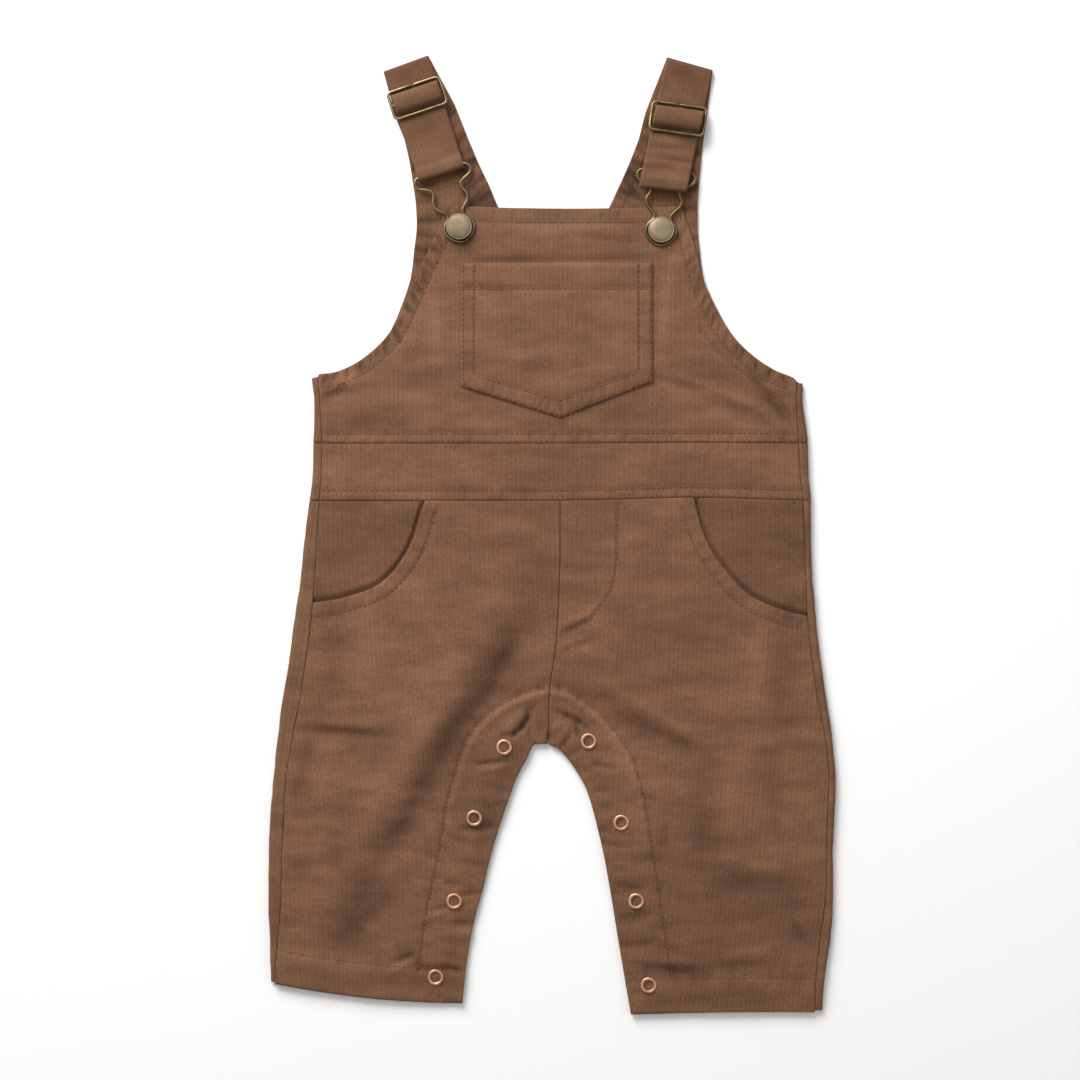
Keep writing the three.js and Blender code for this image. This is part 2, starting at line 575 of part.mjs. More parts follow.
// The hip pocket lies level with the front in the scoop and dips under the leg panel at the mouth
function hipPocket(side) {
  const sign = signOf(side);
  const rows = LEGS[side].filter((row) => row.mouthX !== undefined);
  const last = rows[rows.length - 1];
  const end = sideAt(side, 'seam', last.mouthY);
  const mouth = [...rows.map((row) => [row.mouthX, row.mouthY]), [end, last.mouthY - 1.5]];
  const mouthLine = mouth.slice(1).map((point, index) => [mouth[index], point]);
  const tucked = rows.map((row, index) => {
    const before = mouth[Math.max(index - 1, 0)];
    const after = mouth[index + 1];
    const run = Math.hypot(after[0] - before[0], after[1] - before[1]);
    const normal = [-sign * Math.abs(after[1] - before[1]) / run, -Math.abs(after[0] - before[0]) / run];
    return { x: row.mouthX + HIP_TUCK * normal[0], y: Math.min(row.mouthY + HIP_TUCK * normal[1], WAIST_Y) };
  });
  tucked[0] = { x: rows[0].mouthX - sign * HIP_TUCK, y: WAIST_Y };
  const foot = last.mouthY - HIP_TUCK - HIP_FOOT_SLACK;
  return panel(shares(9), edgeShares(7), (u, v) => {
    const row = v * (tucked.length - 1);
    const sideY = lerp(WAIST_Y, foot, v);
    const outer = [sideAt(side, 'seam', sideY) - sign * SEAM_GAP / 2, sideY];
    const inner = [columnAt(tucked, 'x', row), columnAt(tucked, 'y', row)];
    const [x, y] = between(outer, inner)(u);
    return [x, y - (v === 0 ? SEAM_GAP / 2 : 0)];
  }, (x, y) => {
    const row = Math.min(rowAt(LEGS[side], 'mouthY', Math.min(y, rows[0].mouthY)), rows.length - 1);
    const inScoop = y > last.mouthY && sign * x > sign * columnAt(rows, 'mouthX', row);
    const level = inScoop ? smooth(distanceTo(mouthLine, x, y), HIP_DIP_START, HIP_DIP) : 0;
    return frontUnder(x, y) - (1 - level) * (WALL + 1.5 * SEAM_GAP);
  });
}

// Back
function backLeg(side) {
  const table = LEGS[side];
  const hem = table[table.length - 1];
  const stations = span(WAIST_Y - SEAM_GAP / 2, hem.sideY + BACK_HEM_RISE, 15);
  const base = flat(shares(18), shares(3), (u, v) => {
    const { row, inside, sag } = legSection(side, v, BACK_INSET);
    const hemRise = v === 1 ? BACK_HEM_RISE : 0;
    const y = columnAt(table, 'sideY', row) + hemRise;
    const [x, lineY] = between(inside, [flatEdge(side, y), y])(u);
    const seamGap = v === 0 ? SEAM_GAP / 2 : 0;
    return [x, lineY - sag * 4 * u * (1 - u) - seamGap + (u < 1 ? hemRise : 0)];
  });
  return joined([base, sideTurn(side, stations)]);
}

function backWaistband() {
  const [bottom, top] = [WAIST_Y + SEAM_GAP / 2, BIB_SEAM_Y - SEAM_GAP / 2];
  const base = flat(shares(3), shares(12), (u, v) => {
    const y = lerp(bottom, top, v);
    return [lerp(flatEdge('left', y), flatEdge('right', y), u), y];
  });
  const stations = span(bottom, top, 3);
  return joined([base, sideTurn('left', stations), sideTurn('right', stations)]);
}

const sectionEnds = ({ x, y, heading, width }) => {
  const reach = [Math.cos(radians(heading)) * width / 2, Math.sin(radians(heading)) * width / 2];
  return [[x - reach[0], y - reach[1]], [x + reach[0], y + reach[1]]];
};

function shoulder(side) {
  const [leftEnd, rightEnd] = sectionEnds(STRAPS[side].seam);
  const [outer, inner] = side === 'left' ? [leftEnd, rightEnd] : [rightEnd, leftEnd];
  const rows = [
    { outer: outer[0], outerY: outer[1] - SEAM_GAP, inner: inner[0], innerY: inner[1] - SEAM_GAP },
    ...SHOULDERS[side].map((row) => ({ outer: row.outer, outerY: row.y, inner: row.inner, innerY: row.y })),
  ];
  return flat(shares(12), shares(3), (u, v) => {
    const row = v * (rows.length - 1);
    const at = (column) => columnAt(rows, column, row);
    return between([at('outer'), at('outerY')], [at('inner'), at('innerY')])(u);
  });
}

// The bodice reaches the neckline a little above a row of the bib's table
const NECK_ROW = 7.3;

function backBodice() {
  const turnTop = SIDES.left[0].y - BACK_INSET;
  const bottom = BIB_SEAM_Y + SEAM_GAP / 2;
  const base = flat(shares(12), shares(8), (u, v) => {
    const row = v * NECK_ROW;
    const ends = ['left', 'right'].map((side) => {
      const y = Math.max(columnAt(BIB, `${side}Y`, row), bottom);
      const edge = row <= ARMHOLE_ROW
        ? flatEdge(side, Math.min(y, turnTop))
        : columnAt(BIB, `${side}X`, row) - signOf(side) * BACK_INSET;
      return [edge, Math.min(y, row <= ARMHOLE_ROW ? turnTop : NECK_Y)];
    });
    return between(...ends)(u);
  });
  const stations = span(bottom, turnTop, 4);
  const turns = ['left', 'right'].map((side) => sideTurn(side, stations));
  return joined([base, ...turns, shoulder('left'), shoulder('right')]);
}

// Straps and fastenings. Heights are of a layer's middle over the surface.
const CLEAR = WIRE / 2 + SEAM_GAP + STRAP_WALL / 2;        // from a wire's middle to a layer's middle
const LAYER = STRAP_WALL + SEAM_GAP;
const BACK_LAYER_Z = STRAP_WALL / 2;
const RETURN_Z = BACK_LAYER_Z + LAYER;
const HOOK_Z = RETURN_Z + CLEAR;
const SLIDER_TOP_Z = RETURN_Z + CLEAR;
const SLIDER_FOOT_Z = RETURN_Z + LAYER + CLEAR;
const SLIDER_BAR_Z = (SLIDER_TOP_Z + SLIDER_FOOT_Z) / 2;

// Side view of a strap: station along the front part from the fold, and height of the layer's middle
function strapProfile({ slider, drapesOverHook }, length, hookStation) {
  const bar = slider.station;
  const foot = bar + SLIDER_HALF_LENGTH;
  const over = SLIDER_BAR_Z + CLEAR + LAYER;
  const front = [
    { station: -0.95, z: (BACK_LAYER_Z + RETURN_Z) / 2 },
    { station: 0, z: RETURN_Z },
    { station: bar - 9.5, z: RETURN_Z },
    { station: bar - 6.4, z: RETURN_Z + 0.1 },
    { station: bar - 4.2, z: RETURN_Z + 2.2 },
    { station: bar - 2.8, z: over - 1.0 },
    { station: bar - 1.3, z: over - 0.05 },
    { station: bar + 0.2, z: over + 0.05 },
    { station: bar + 1.6, z: over - 0.2 },
    { station: bar + 3.0, z: over - 1.3 },
    { station: bar + 4.6, z: RETURN_Z + LAYER + 1.2 },
    { station: bar + 6.4, z: RETURN_Z + LAYER + 0.35 },
    { station: foot, z: RETURN_Z + LAYER },
    { station: foot + 3, z: RETURN_Z + LAYER },
    { station: hookStation - 7, z: RETURN_Z + LAYER },
  ];
  const hung = [
    { station: hookStation - 2.5, z: HOOK_Z + CLEAR - 0.1 },
    { station: hookStation, z: HOOK_Z + CLEAR + 0.05 },
    { station: hookStation + 1.4, z: HOOK_Z + 1.3 },
    { station: hookStation + CLEAR, z: HOOK_Z },
    { station: hookStation + 1.4, z: HOOK_Z - 1.3 },
    { station: hookStation, z: RETURN_Z },
  ];
  const lifted = HOOK_Z + CLEAR + 0.1;
  const draped = [
    { station: hookStation - 2.5, z: HOOK_Z + CLEAR - 0.1 },
    { station: hookStation, z: HOOK_Z + CLEAR + 0.05 },
    { station: hookStation + 2.8, z: HOOK_Z + CLEAR + 0.7 },
    { station: hookStation + 5.4, z: lifted + LAYER },
    { station: hookStation + 7.6, z: lifted + LAYER },
    { station: length - 1.2, z: lifted + LAYER },
    { station: length - 0.2, z: lifted + LAYER / 2 },
    { station: length - 1.2, z: lifted },
    { station: hookStation + 6.6, z: lifted },
    { station: hookStation + 5.4, z: lifted - 0.4 },
    { station: hookStation + 1.7, z: HOOK_Z - 0.8 },
    { station: hookStation + 0.3, z: RETURN_Z },
  ];
  const ring = span(-90, -300, 6).map((degrees) => ({
    station: bar + CLEAR * Math.cos(radians(degrees)),
    z: SLIDER_BAR_Z + CLEAR * Math.sin(radians(degrees)),
  }));
  const back = [
    { station: hookStation - 4, z: RETURN_Z },
    { station: foot, z: RETURN_Z },
    { station: bar + 3.4, z: RETURN_Z + 0.15 },
    ...ring,
  ];
  return [...front, ...(drapesOverHook ? draped : hung), ...back];
}

const lengthOf = ({ fold, end }) => Math.hypot(end.x - fold.x, end.y - fold.y);

// Middle, heading and width of the front part at a station
function strapAt(shape, station) {
  const { fold, end, slider } = shape;
  const length = lengthOf(shape);
  const [sliderStart, sliderEnd] = [-1.2, 1.2].map((reach) => slider.station + reach * SLIDER_HALF_LENGTH);
  const heading = station < sliderEnd
    ? lerp(fold.heading, slider.heading, Math.min(station / sliderStart, 1))
    : lerp(slider.heading, end.heading, (station - sliderEnd) / (length - sliderEnd));
  const t = station / length;
  return { x: lerp(fold.x, end.x, t), y: lerp(fold.y, end.y, t), heading, width: end.width };
}

// Station at which the strap goes round the hook's bar
function hookStationOf(side) {
  const { fold, end } = STRAPS[side];
  const { x, y, heading } = FASTENINGS[side];
  const barX = x - HOOK[0].along * Math.sin(radians(heading));
  const barY = y + HOOK[0].along * Math.cos(radians(heading));
  return ((barX - fold.x) * (end.x - fold.x) + (barY - fold.y) * (end.y - fold.y)) / lengthOf(STRAPS[side]);
}

// How much of the way from the seam to the fold the back part of the strap lies flat
const FOLD_SHARE = 0.985;

function strap(side) {
  const shape = STRAPS[side];
  const { seam, fold } = shape;
  const backPart = span(0, FOLD_SHARE, 3).map((t) => {
    const at = (key) => lerp(seam[key], fold[key], t);
    const section = { x: at('x'), y: at('y'), heading: at('heading'), width: at('width') };
    return { ends: sectionEnds(section), z: BACK_LAYER_Z };
  });
  const profile = strapProfile(shape, lengthOf(shape), hookStationOf(side));
  const frontPart = profile.map(({ station, z }) => ({ ends: sectionEnds(strapAt(shape, station)), z }));
  const sections = [...backPart, ...frontPart];
  const middles = sections.map(({ ends: [a, b], z }) => (
    new THREE.Vector3((a[0] + b[0]) / 2, (a[1] + b[1]) / 2, z)
  ));
  return wall(sections.map(({ ends: [a, b], z }, index) => {
    const before = middles[Math.max(index - 1, 0)];
    const after = middles[Math.min(index + 1, middles.length - 1)];
    const along = after.clone().sub(before).normalize();
    const across = new THREE.Vector3(b[0] - a[0], b[1] - a[1], 0).normalize();
    const normal = new THREE.Vector3().crossVectors(across, along).normalize().multiplyScalar(STRAP_WALL / 2);
    return [a, b].map(([x, y]) => {
      const middle = new THREE.Vector3(x, y, z);
      return { over: middle.clone().add(normal), under: middle.clone().sub(normal) };
    });
  }));
}

// Wire bent into a closed loop
function wireLoop(points, steps, sides = 6) {
  const curve = new THREE.CatmullRomCurve3(points, true, 'centripetal');
  return new THREE.TubeGeometry(curve, steps, WIRE / 2, sides, true);
}

function sliderFrame() {
  const corners = [[1, 1], [-1, 1], [-1, -1], [1, -1]];
  const points = corners.flatMap(([signX, signY], index) => {
    const centreX = signX * (SLIDER_HALF_WIDTH - SLIDER_CORNER);
    const centreY = signY * (SLIDER_HALF_LENGTH - SLIDER_CORNER);
    return [0, 45, 90].map((degrees) => {
      const turn = radians(degrees + 90 * index);
      const x = centreX + SLIDER_CORNER * Math.cos(turn);
      const y = centreY + SLIDER_CORNER * Math.sin(turn);
      const up = (y + SLIDER_HALF_LENGTH) / (2 * SLIDER_HALF_LENGTH);
      return new THREE.Vector3(x, y, lerp(SLIDER_FOOT_Z, SLIDER_TOP_Z, up));
    });
  });
  return wireLoop(points, 32);
}

function sliderBar() {
  const length = 2 * (SLIDER_HALF_WIDTH - WIRE / 2 - SEAM_GAP);
  const bar = new THREE.CylinderGeometry(WIRE / 2, WIRE / 2, length, 8);
  return bar.rotateZ(Math.PI / 2).translate(0, 0, SLIDER_BAR_Z);
}

function hook() {
  const point = ({ across, along }, sign) => new THREE.Vector3(sign * across, along, HOOK_Z);
  const right = HOOK.map((row) => point(row, 1));
  const left = HOOK.map((row) => point(row, -1)).reverse();
  return wireLoop([...right, new THREE.Vector3(0, HOOK_FOOT, HOOK_Z), ...left], 56);
}

function button(side) {
  const { x, y } = FASTENINGS[side];
  const seat = frontOver(x, y) + SEAM_GAP;
  const cap = HOOK_Z + WIRE / 2 + SEAM_GAP;
  const profile = [
    { radius: 0, z: seat },
    { radius: FLANGE_RADIUS, z: seat },
    { radius: FLANGE_RADIUS, z: seat + FLANGE_HEIGHT },
    { radius: SHANK_RADIUS, z: seat + FLANGE_HEIGHT + 0.2 },
    { radius: SHANK_RADIUS, z: cap },
    { radius: BUTTON_RADIUS - 0.5, z: cap },
    { radius: BUTTON_RADIUS, z: cap + 0.5 },
    { radius: BUTTON_RADIUS - 0.3, z: cap + 1.1 },
    { radius: BUTTON_RADIUS - 1.6, z: cap + 1.7 },
    { radius: 3, z: cap + 2.25 },
    { radius: 0, z: cap + 2.4 },
  ].map(({ radius, z }) => new THREE.Vector2(radius, z));
  return new THREE.LatheGeometry(profile, 16).rotateX(Math.PI / 2);
}

function snapRing() {
  const middle = (SNAP_RADIUS + SNAP_HOLE_RADIUS) / 2;
  const profile = [
    [SNAP_HOLE_RADIUS, 0],
    [SNAP_RADIUS, 0],
    [SNAP_RADIUS, SNAP_HEIGHT * 0.5],
    [middle, SNAP_HEIGHT],
    [SNAP_HOLE_RADIUS, SNAP_HEIGHT * 0.5],
    [SNAP_HOLE_RADIUS, 0],
  ].map(([radius, z]) => new THREE.Vector2(radius, z));
  return new THREE.LatheGeometry(profile, 14).rotateX(Math.PI / 2);
}

function snapSeat({ x, y }) {
  const heights = shares(12).map((t) => {
    const turn = 2 * Math.PI * t;
    return frontOver(x + SNAP_RADIUS * Math.cos(turn), y + SNAP_RADIUS * Math.sin(turn));
  });
  return Math.max(...heights) + SEAM_GAP;
}

// The garment
const overalls = new THREE.Group();

function add(name, geometry, material, place = { x: 0, y: 0, z: 0, heading: 0 }) {
  const mesh = new THREE.Mesh(geometry, material);
  mesh.name = name;
  mesh.position.set(place.x, place.y, place.z ?? 0);
  mesh.rotation.z = radians(place.heading ?? 0);
  overalls.add(mesh);
}

add('front_bib', frontBib(), CORDUROY);
add('bib_pocket', bibPocket(), CORDUROY);
add('front_waistband', frontWaistband(), CORDUROY);
add('back_bodice', backBodice(), CORDUROY_SHADE);
add('back_waistband', backWaistband(), CORDUROY_SHADE);
for (const side of ['left', 'right']) {
  add(`front_leg_${side}`, frontLeg(side), CORDUROY);
  add(`hip_pocket_${side}`, hipPocket(side), CORDUROY_SHADE);
  add(`back_leg_${side}`, backLeg(side), CORDUROY_SHADE);
  add(`strap_${side}`, strap(side), CORDUROY);
  const { x, y, heading } = strapAt(STRAPS[side], STRAPS[side].slider.station);
  const sliderPlace = { x, y, heading };
  add(`slider_frame_${side}`, sliderFrame(), BRASS, sliderPlace);
  add(`slider_bar_${side}`, sliderBar(), BRASS, sliderPlace);
  add(`hook_${side}`, hook(), BRASS, FASTENINGS[side]);
  add(`button_${side}`, button(side), CAP, { x: FASTENINGS[side].x, y: FASTENINGS[side].y });
  SNAPS[side].forEach((snap, index) => {
    add(`snap_${side}_${index + 1}`, snapRing(), COPPER, { ...snap, z: snapSeat(snap) });
  });
}

export default overalls;
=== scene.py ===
import math

import bpy
import numpy as np
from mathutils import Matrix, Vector
from mathutils.geometry import delaunay_2d_cdt


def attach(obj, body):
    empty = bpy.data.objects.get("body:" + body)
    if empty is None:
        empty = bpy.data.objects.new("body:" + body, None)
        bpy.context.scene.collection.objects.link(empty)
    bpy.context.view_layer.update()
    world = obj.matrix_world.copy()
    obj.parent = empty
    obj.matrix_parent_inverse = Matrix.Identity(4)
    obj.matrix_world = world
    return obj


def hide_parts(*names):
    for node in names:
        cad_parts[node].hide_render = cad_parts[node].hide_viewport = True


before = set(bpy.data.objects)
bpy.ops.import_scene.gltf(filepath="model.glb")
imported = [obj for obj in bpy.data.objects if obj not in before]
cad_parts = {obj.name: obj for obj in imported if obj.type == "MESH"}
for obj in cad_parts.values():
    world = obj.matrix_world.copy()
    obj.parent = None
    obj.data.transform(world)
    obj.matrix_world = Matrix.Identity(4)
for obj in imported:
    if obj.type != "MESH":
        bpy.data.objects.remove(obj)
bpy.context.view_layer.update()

# Toddler overalls in brown corduroy, laid flat on their back on a pale surface, with the straps folded
# over and hooked to the bib. Shapes are worked out in millimetres, in the CAD model's frame, and become
# metres as each mesh is made. Left and right are the viewer's.


# Surface, light and camera
# The garment lies on a plain pale surface under large soft lights, the strongest of them at the upper
# left. The camera looks straight down on the middle of the picture.
MM = 0.001
FLOOR_SIZE = 4.0
FLOOR_DROP = 0.0002
VIEW_CENTRE = (-6.48, -2.97)
VIEW_WIDTH = 583.2
LENS = 85.0
SENSOR = 36.0
CLOTH_HEIGHT = 4.0
LIGHTS = (
    # name, place in metres, size, watts
    ("key", (-0.7, 1.3, 0.95), 1.0, 46.0),
    ("fill", (1.5, -0.3, 1.3), 1.4, 5.0),
    ("top", (-0.2, 0.4, 2.2), 1.6, 8.0),
)
SKY_STRENGTH = 0.34


def principled(name, roughness, metallic=0.0):
    """A new material, with its node tree and its shader."""
    material = bpy.data.materials.new(name)
    material.use_nodes = True
    tree = material.node_tree
    shader = tree.nodes["Principled BSDF"]
    shader.inputs["Roughness"].default_value = roughness
    shader.inputs["Metallic"].default_value = metallic
    return material, tree, shader


def node(tree, kind, settings=None, **inputs):
    """A node with its settings, and its inputs set or linked by name."""
    made = tree.nodes.new(kind)
    for key, value in (settings or {}).items():
        setattr(made, key, value)
    for key, value in inputs.items():
        socket = made.inputs[int(key[1:])] if key[1:].isdigit() else made.inputs[key.replace("_", " ")]
        if isinstance(value, bpy.types.NodeSocket):
            tree.links.new(value, socket)
        else:
            socket.default_value = value
    return made


def noise(tree, scale, detail, **more):
    """Noise from 0 to 1, in cells that grow finer with scale."""
    return node(tree, "ShaderNodeTexNoise", Scale=scale, Detail=detail, **more).outputs["Fac"]


def two_tone(tree, share, low, high):
    """A colour that runs from low to high with a share."""
    mixed = node(tree, "ShaderNodeMix", {"data_type": "RGBA"}, _0=share, _6=(*low, 1), _7=(*high, 1))
    return mixed.outputs[2]


def place(name, mesh, material=None):
    """A new object that holds a mesh, at the origin."""
    made = bpy.data.objects.new(name, mesh)
    bpy.context.scene.collection.objects.link(made)
    if material is not None:
        mesh.materials.append(material)
    return made


floor_mesh = bpy.data.meshes.new("floor")
floor_corners = [
    (across * FLOOR_SIZE / 2, along * FLOOR_SIZE / 2, -FLOOR_DROP)
    for across, along in ((-1, -1), (1, -1), (1, 1), (-1, 1))
]
floor_mesh.from_pydata(floor_corners, [], [(0, 1, 2, 3)])
paper, paper_tree, paper_shader = principled("pale_surface", 0.85)
paper_tint = two_tone(paper_tree, noise(paper_tree, 9.0, 3.0), (0.86, 0.86, 0.855), (0.90, 0.90, 0.895))
paper_tree.links.new(paper_tint, paper_shader.inputs["Base Color"])
place("floor", floor_mesh, paper)

for light_name, light_place, light_size, watts in LIGHTS:
    light_data = bpy.data.lights.new(light_name, "AREA")
    light_data.size = light_size
    light_data.energy = watts
    light = bpy.data.objects.new(light_name, light_data)
    light.location = light_place
    light.rotation_euler = (-Vector(light_place)).to_track_quat("-Z", "Y").to_euler()
    bpy.context.scene.collection.objects.link(light)

sky = bpy.data.worlds.new("studio")
sky.use_nodes = True
sky.node_tree.nodes["Background"].inputs["Color"].default_value = (1.0, 0.99, 0.975, 1)
sky.node_tree.nodes["Background"].inputs["Strength"].default_value = SKY_STRENGTH
bpy.context.scene.world = sky
bpy.context.scene.view_settings.view_transform = "Standard"

camera_data = bpy.data.cameras.new("camera")
camera_data.lens = LENS
camera_data.sensor_width = SENSOR
camera = bpy.data.objects.new("camera", camera_data)
distance_up = VIEW_WIDTH * LENS / SENSOR + CLOTH_HEIGHT
camera.location = (VIEW_CENTRE[0] * MM, VIEW_CENTRE[1] * MM, distance_up * MM)
bpy.context.scene.collection.objects.link(camera)
bpy.context.scene.camera = camera


# Front legs
# Two panels of fine corduroy, joined down the middle to the crotch. Hems and inseams are turned in and
# stitched, the pocket mouths are scooped out, and creases run from the crotch down both legs.
WALL = 1.2  # thickness of the cloth
SEAM_GAP = 0.3  # air between layers
SEAM = 0.06  # gap that shows at a seam
CREST = 0.07  # height of the corduroy's ridges
WALE = 2.54
COLUMN = WALE / 6
ROW = 1.5
BODY_UNDER = 3.3  # height of the front's inner face over the surface, at the legs and at the bib
BIB_UNDER = 1.8
BIB_FALL = (90, 150)  # where it falls from one to the other
EDGE_UNDER = 1.7  # the same at free edges, over which the front falls to them
EDGE_FALL = 14.0
LOFT = 1.1  # how much higher the middle stands, far from any free edge
LOFT_REACH = 55.0
BACK_CLEAR = 1.4  # the lowest that a crease's inner face comes over the surface
WAIST_Y = 18.3
HEM_WIDTH = 19.0
ROUNDING = 0.5
DENT = 0.75  # the deepest relief of the outer face alone
# Rows of the tables below: the crotch of a leg, the foot of an armhole, and the mouth's end at the side
CROTCH_ROW = 12
ARMHOLE_ROW = 3
MOUTH_ROW = 8
SIGN = {"left": -1, "right": 1}


def table(names, *rows):
    """Columns of numbers by name."""
    return dict(zip(names.split(), np.array(rows, dtype=float).T))


# Side seam, which lies on the front, and the outer edge, where the back turns round to it
SIDES = {
    "left": table(
        "y seam edge",
        (85.6, -126.4, -129.8),
        (72.6, -125.3, -128.6),
        (61.8, -124.7, -128.6),
        (51.0, -124.2, -129.1),
        (29.4, -124.7, -129.6),
        (18.6, -125.6, -131.1),
        (-2.9, -126.9, -133.9),
        (-24.6, -128.3, -136.1),
        (-46.2, -130.1, -139.3),
        (-67.8, -132.8, -142.0),
        (-89.4, -136.1, -145.8),
        (-111.0, -140.4, -148.5),
        (-132.6, -143.6, -150.7),
        (-154.2, -145.0, -152.3),
        (-175.8, -146.0, -153.3),
        (-197.4, -146.3, -153.4),
        (-219.0, -148.0, -152.6),
        (-243.0, -149.6, -152.3),
    ),
    "right": table(
        "y seam edge",
        (82.6, 132.1, 135.6),
        (72.6, 131.8, 135.5),
        (61.8, 132.3, 137.0),
        (51.0, 133.1, 138.2),
        (29.4, 134.2, 138.8),
        (18.6, 135.5, 139.8),
        (-2.9, 136.6, 139.9),
        (-24.6, 137.2, 140.9),
        (-46.2, 138.2, 142.9),
        (-67.8, 140.7, 145.3),
        (-89.4, 143.6, 148.5),
        (-111.0, 147.8, 151.4),
        (-132.6, 149.6, 153.4),
        (-154.2, 148.8, 152.6),
        (-175.8, 148.5, 151.9),
        (-197.4, 147.7, 151.9),
        (-219.0, 144.7, 150.6),
        (-241.0, 142.6, 147.4),
        (-258.3, 142.0, 146.3),
    ),
}
# The inside edge of each leg from waist to hem, the height of the side at the same row, and the hem's sag
LEGS = {
    "left": table(
        "inside_x inside_y side_y",
        (4.3, 18.3, 18.3),
        (4.3, 7.3, 11.5),
        (4.3, -3.0, 4.6),
        (4.3, -13.8, -2.3),
        (3.8, -25.7, -9.2),
        (3.5, -36.5, -16.0),
        (3.0, -46.2, -23.0),
        (2.2, -57.0, -29.6),
        (0.8, -68.9, -36.8),
        (-1.0, -80.2, -54.3),
        (-1.9, -92.0, -72.1),
        (-1.9, -103.0, -89.4),
        (-2.1, -112.9, -108.3),
        (-9.2, -113.4, -121.8),
        (-14.0, -121.8, -134.2),
        (-19.4, -132.0, -146.1),
        (-23.5, -143.4, -159.6),
        (-28.0, -156.3, -173.1),
        (-33.0, -173.0, -186.6),
        (-37.3, -190.9, -200.0),
        (-42.1, -209.0, -213.6),
        (-46.0, -230.0, -227.0),
        (-48.6, -253.5, -242.9),
    ),
    "right": table(
        "inside_x inside_y side_y",
        (4.6, 18.3, 18.3),
        (4.6, 7.3, 10.5),
        (4.6, -3.0, 2.6),
        (4.6, -13.8, -5.3),
        (4.1, -25.7, -13.2),
        (3.8, -36.5, -21.0),
        (3.3, -46.2, -29.0),
        (2.5, -57.0, -37.0),
        (1.1, -68.9, -44.0),
        (-0.7, -80.2, -60.5),
        (-1.6, -92.0, -76.0),
        (-1.6, -103.0, -92.0),
        (-1.4, -112.9, -108.3),
        (3.4, -115.6, -124.5),
        (8.2, -120.7, -138.0),
        (13.0, -127.4, -151.5),
        (17.4, -135.0, -165.0),
        (20.8, -144.0, -178.5),
        (24.5, -158.0, -192.0),
        (28.4, -175.0, -205.5),
        (32.3, -197.0, -219.0),
        (36.0, -220.0, -234.0),
        (42.7, -259.5, -258.3),
    ),
}
HEM_SAG = {"left": 2.4, "right": -0.6}
# Scooped pocket mouths, from the waist to where they meet the side seam
MOUTHS = {
    "left": table(
        "x y",
        (-68.6, 18.3),
        (-72.0, 7.3),
        (-75.0, -2.4),
        (-80.0, -12.2),
        (-87.5, -21.9),
        (-96.0, -28.4),
        (-107.0, -32.5),
        (-117.0, -35.2),
        (-129.3, -36.8),
    ),
    "right": table(
        "x y",
        (76.7, 18.3),
        (79.9, 5.1),
        (85.3, -7.8),
        (92.9, -18.6),
        (100.4, -27.3),
        (108.5, -33.8),
        (119.3, -38.9),
        (129.5, -42.2),
        (138.1, -44.0),
    ),
}
# Bib from the waist seam up: side seams to the third row, then armholes
BIB = table(
    "left_x left_y right_x right_y",
    (-124.2, 49.3, 133.1, 49.3),
    (-124.7, 61.8, 132.3, 61.8),
    (-125.3, 72.6, 131.8, 72.6),
    (-126.4, 86.2, 132.1, 82.6),
    (-117.2, 87.8, 120.6, 88.8),
    (-103.7, 94.2, 110.9, 95.0),
    (-91.5, 104.8, 100.1, 104.8),
    (-83.9, 115.8, 92.4, 115.8),
    (-79.0, 126.2, 86.5, 126.6),
    (-75.0, 135.3, 82.2, 137.4),
    (-71.3, 143.9, 79.4, 147.2),
    (-67.2, 152.6, 77.6, 154.6),
    (-63.7, 160.2, 75.5, 161.6),
    (-59.8, 169.0, 72.9, 169.2),
    (-57.4, 177.9, 70.2, 177.4),
)
# Degrees by which the wales lean to the right on the way down
LEANS = {
    "left": table(
        "y lean",
        (18, 1), (-20, 2), (-65, 4), (-110, 6), (-150, 5), (-185, 0), (-225, 1), (-260, 3),
    ),
    "right": table("y lean", (18, 0), (-25, 0), (-60, -3), (-110, -4), (-160, -4), (-205, -7), (-262, -8)),
    "none": table("y lean", (300, 0), (-300, 0)),
}
# The back's wales run along its sides
BACK_SIDES = {"back_left": "left", "back_right": "right"}
# Folds and creases of the front. A heading is counted from the right, and a trough has a negative rise.
FOLDS = table(
    "x y heading length width rise",
    (-35.6, -82, 57, 105, 22, -1.95),
    (-78.0, -152, 62, 100, 20, -1.6),
    (-98.0, -198, 68, 70, 24, -0.8),
    (-53.0, -76, 57, 90, 24, 1.5),
    (-89.0, -140, 61, 75, 24, 1.35),
    (-111.7, -107, -5, 50, 9, -1.2),
    (-106.4, -211, 45, 50, 24, -1.35),
    (47.5, -104, -28, 72, 17, -1.8),
    (37.0, -117, -58, 62, 12, 1.5),
    (128.5, -84, 88, 60, 17, -1.5),
    (117.7, -192, -15, 46, 15, -1.2),
    (80.0, -236, 5, 90, 9, -1.05),
    (112.0, -200, -30, 84, 34, -1.1),
    (-82.0, 79, 8, 62, 14, -0.6),
    (93.4, 81, -23, 50, 13, -0.7),
)
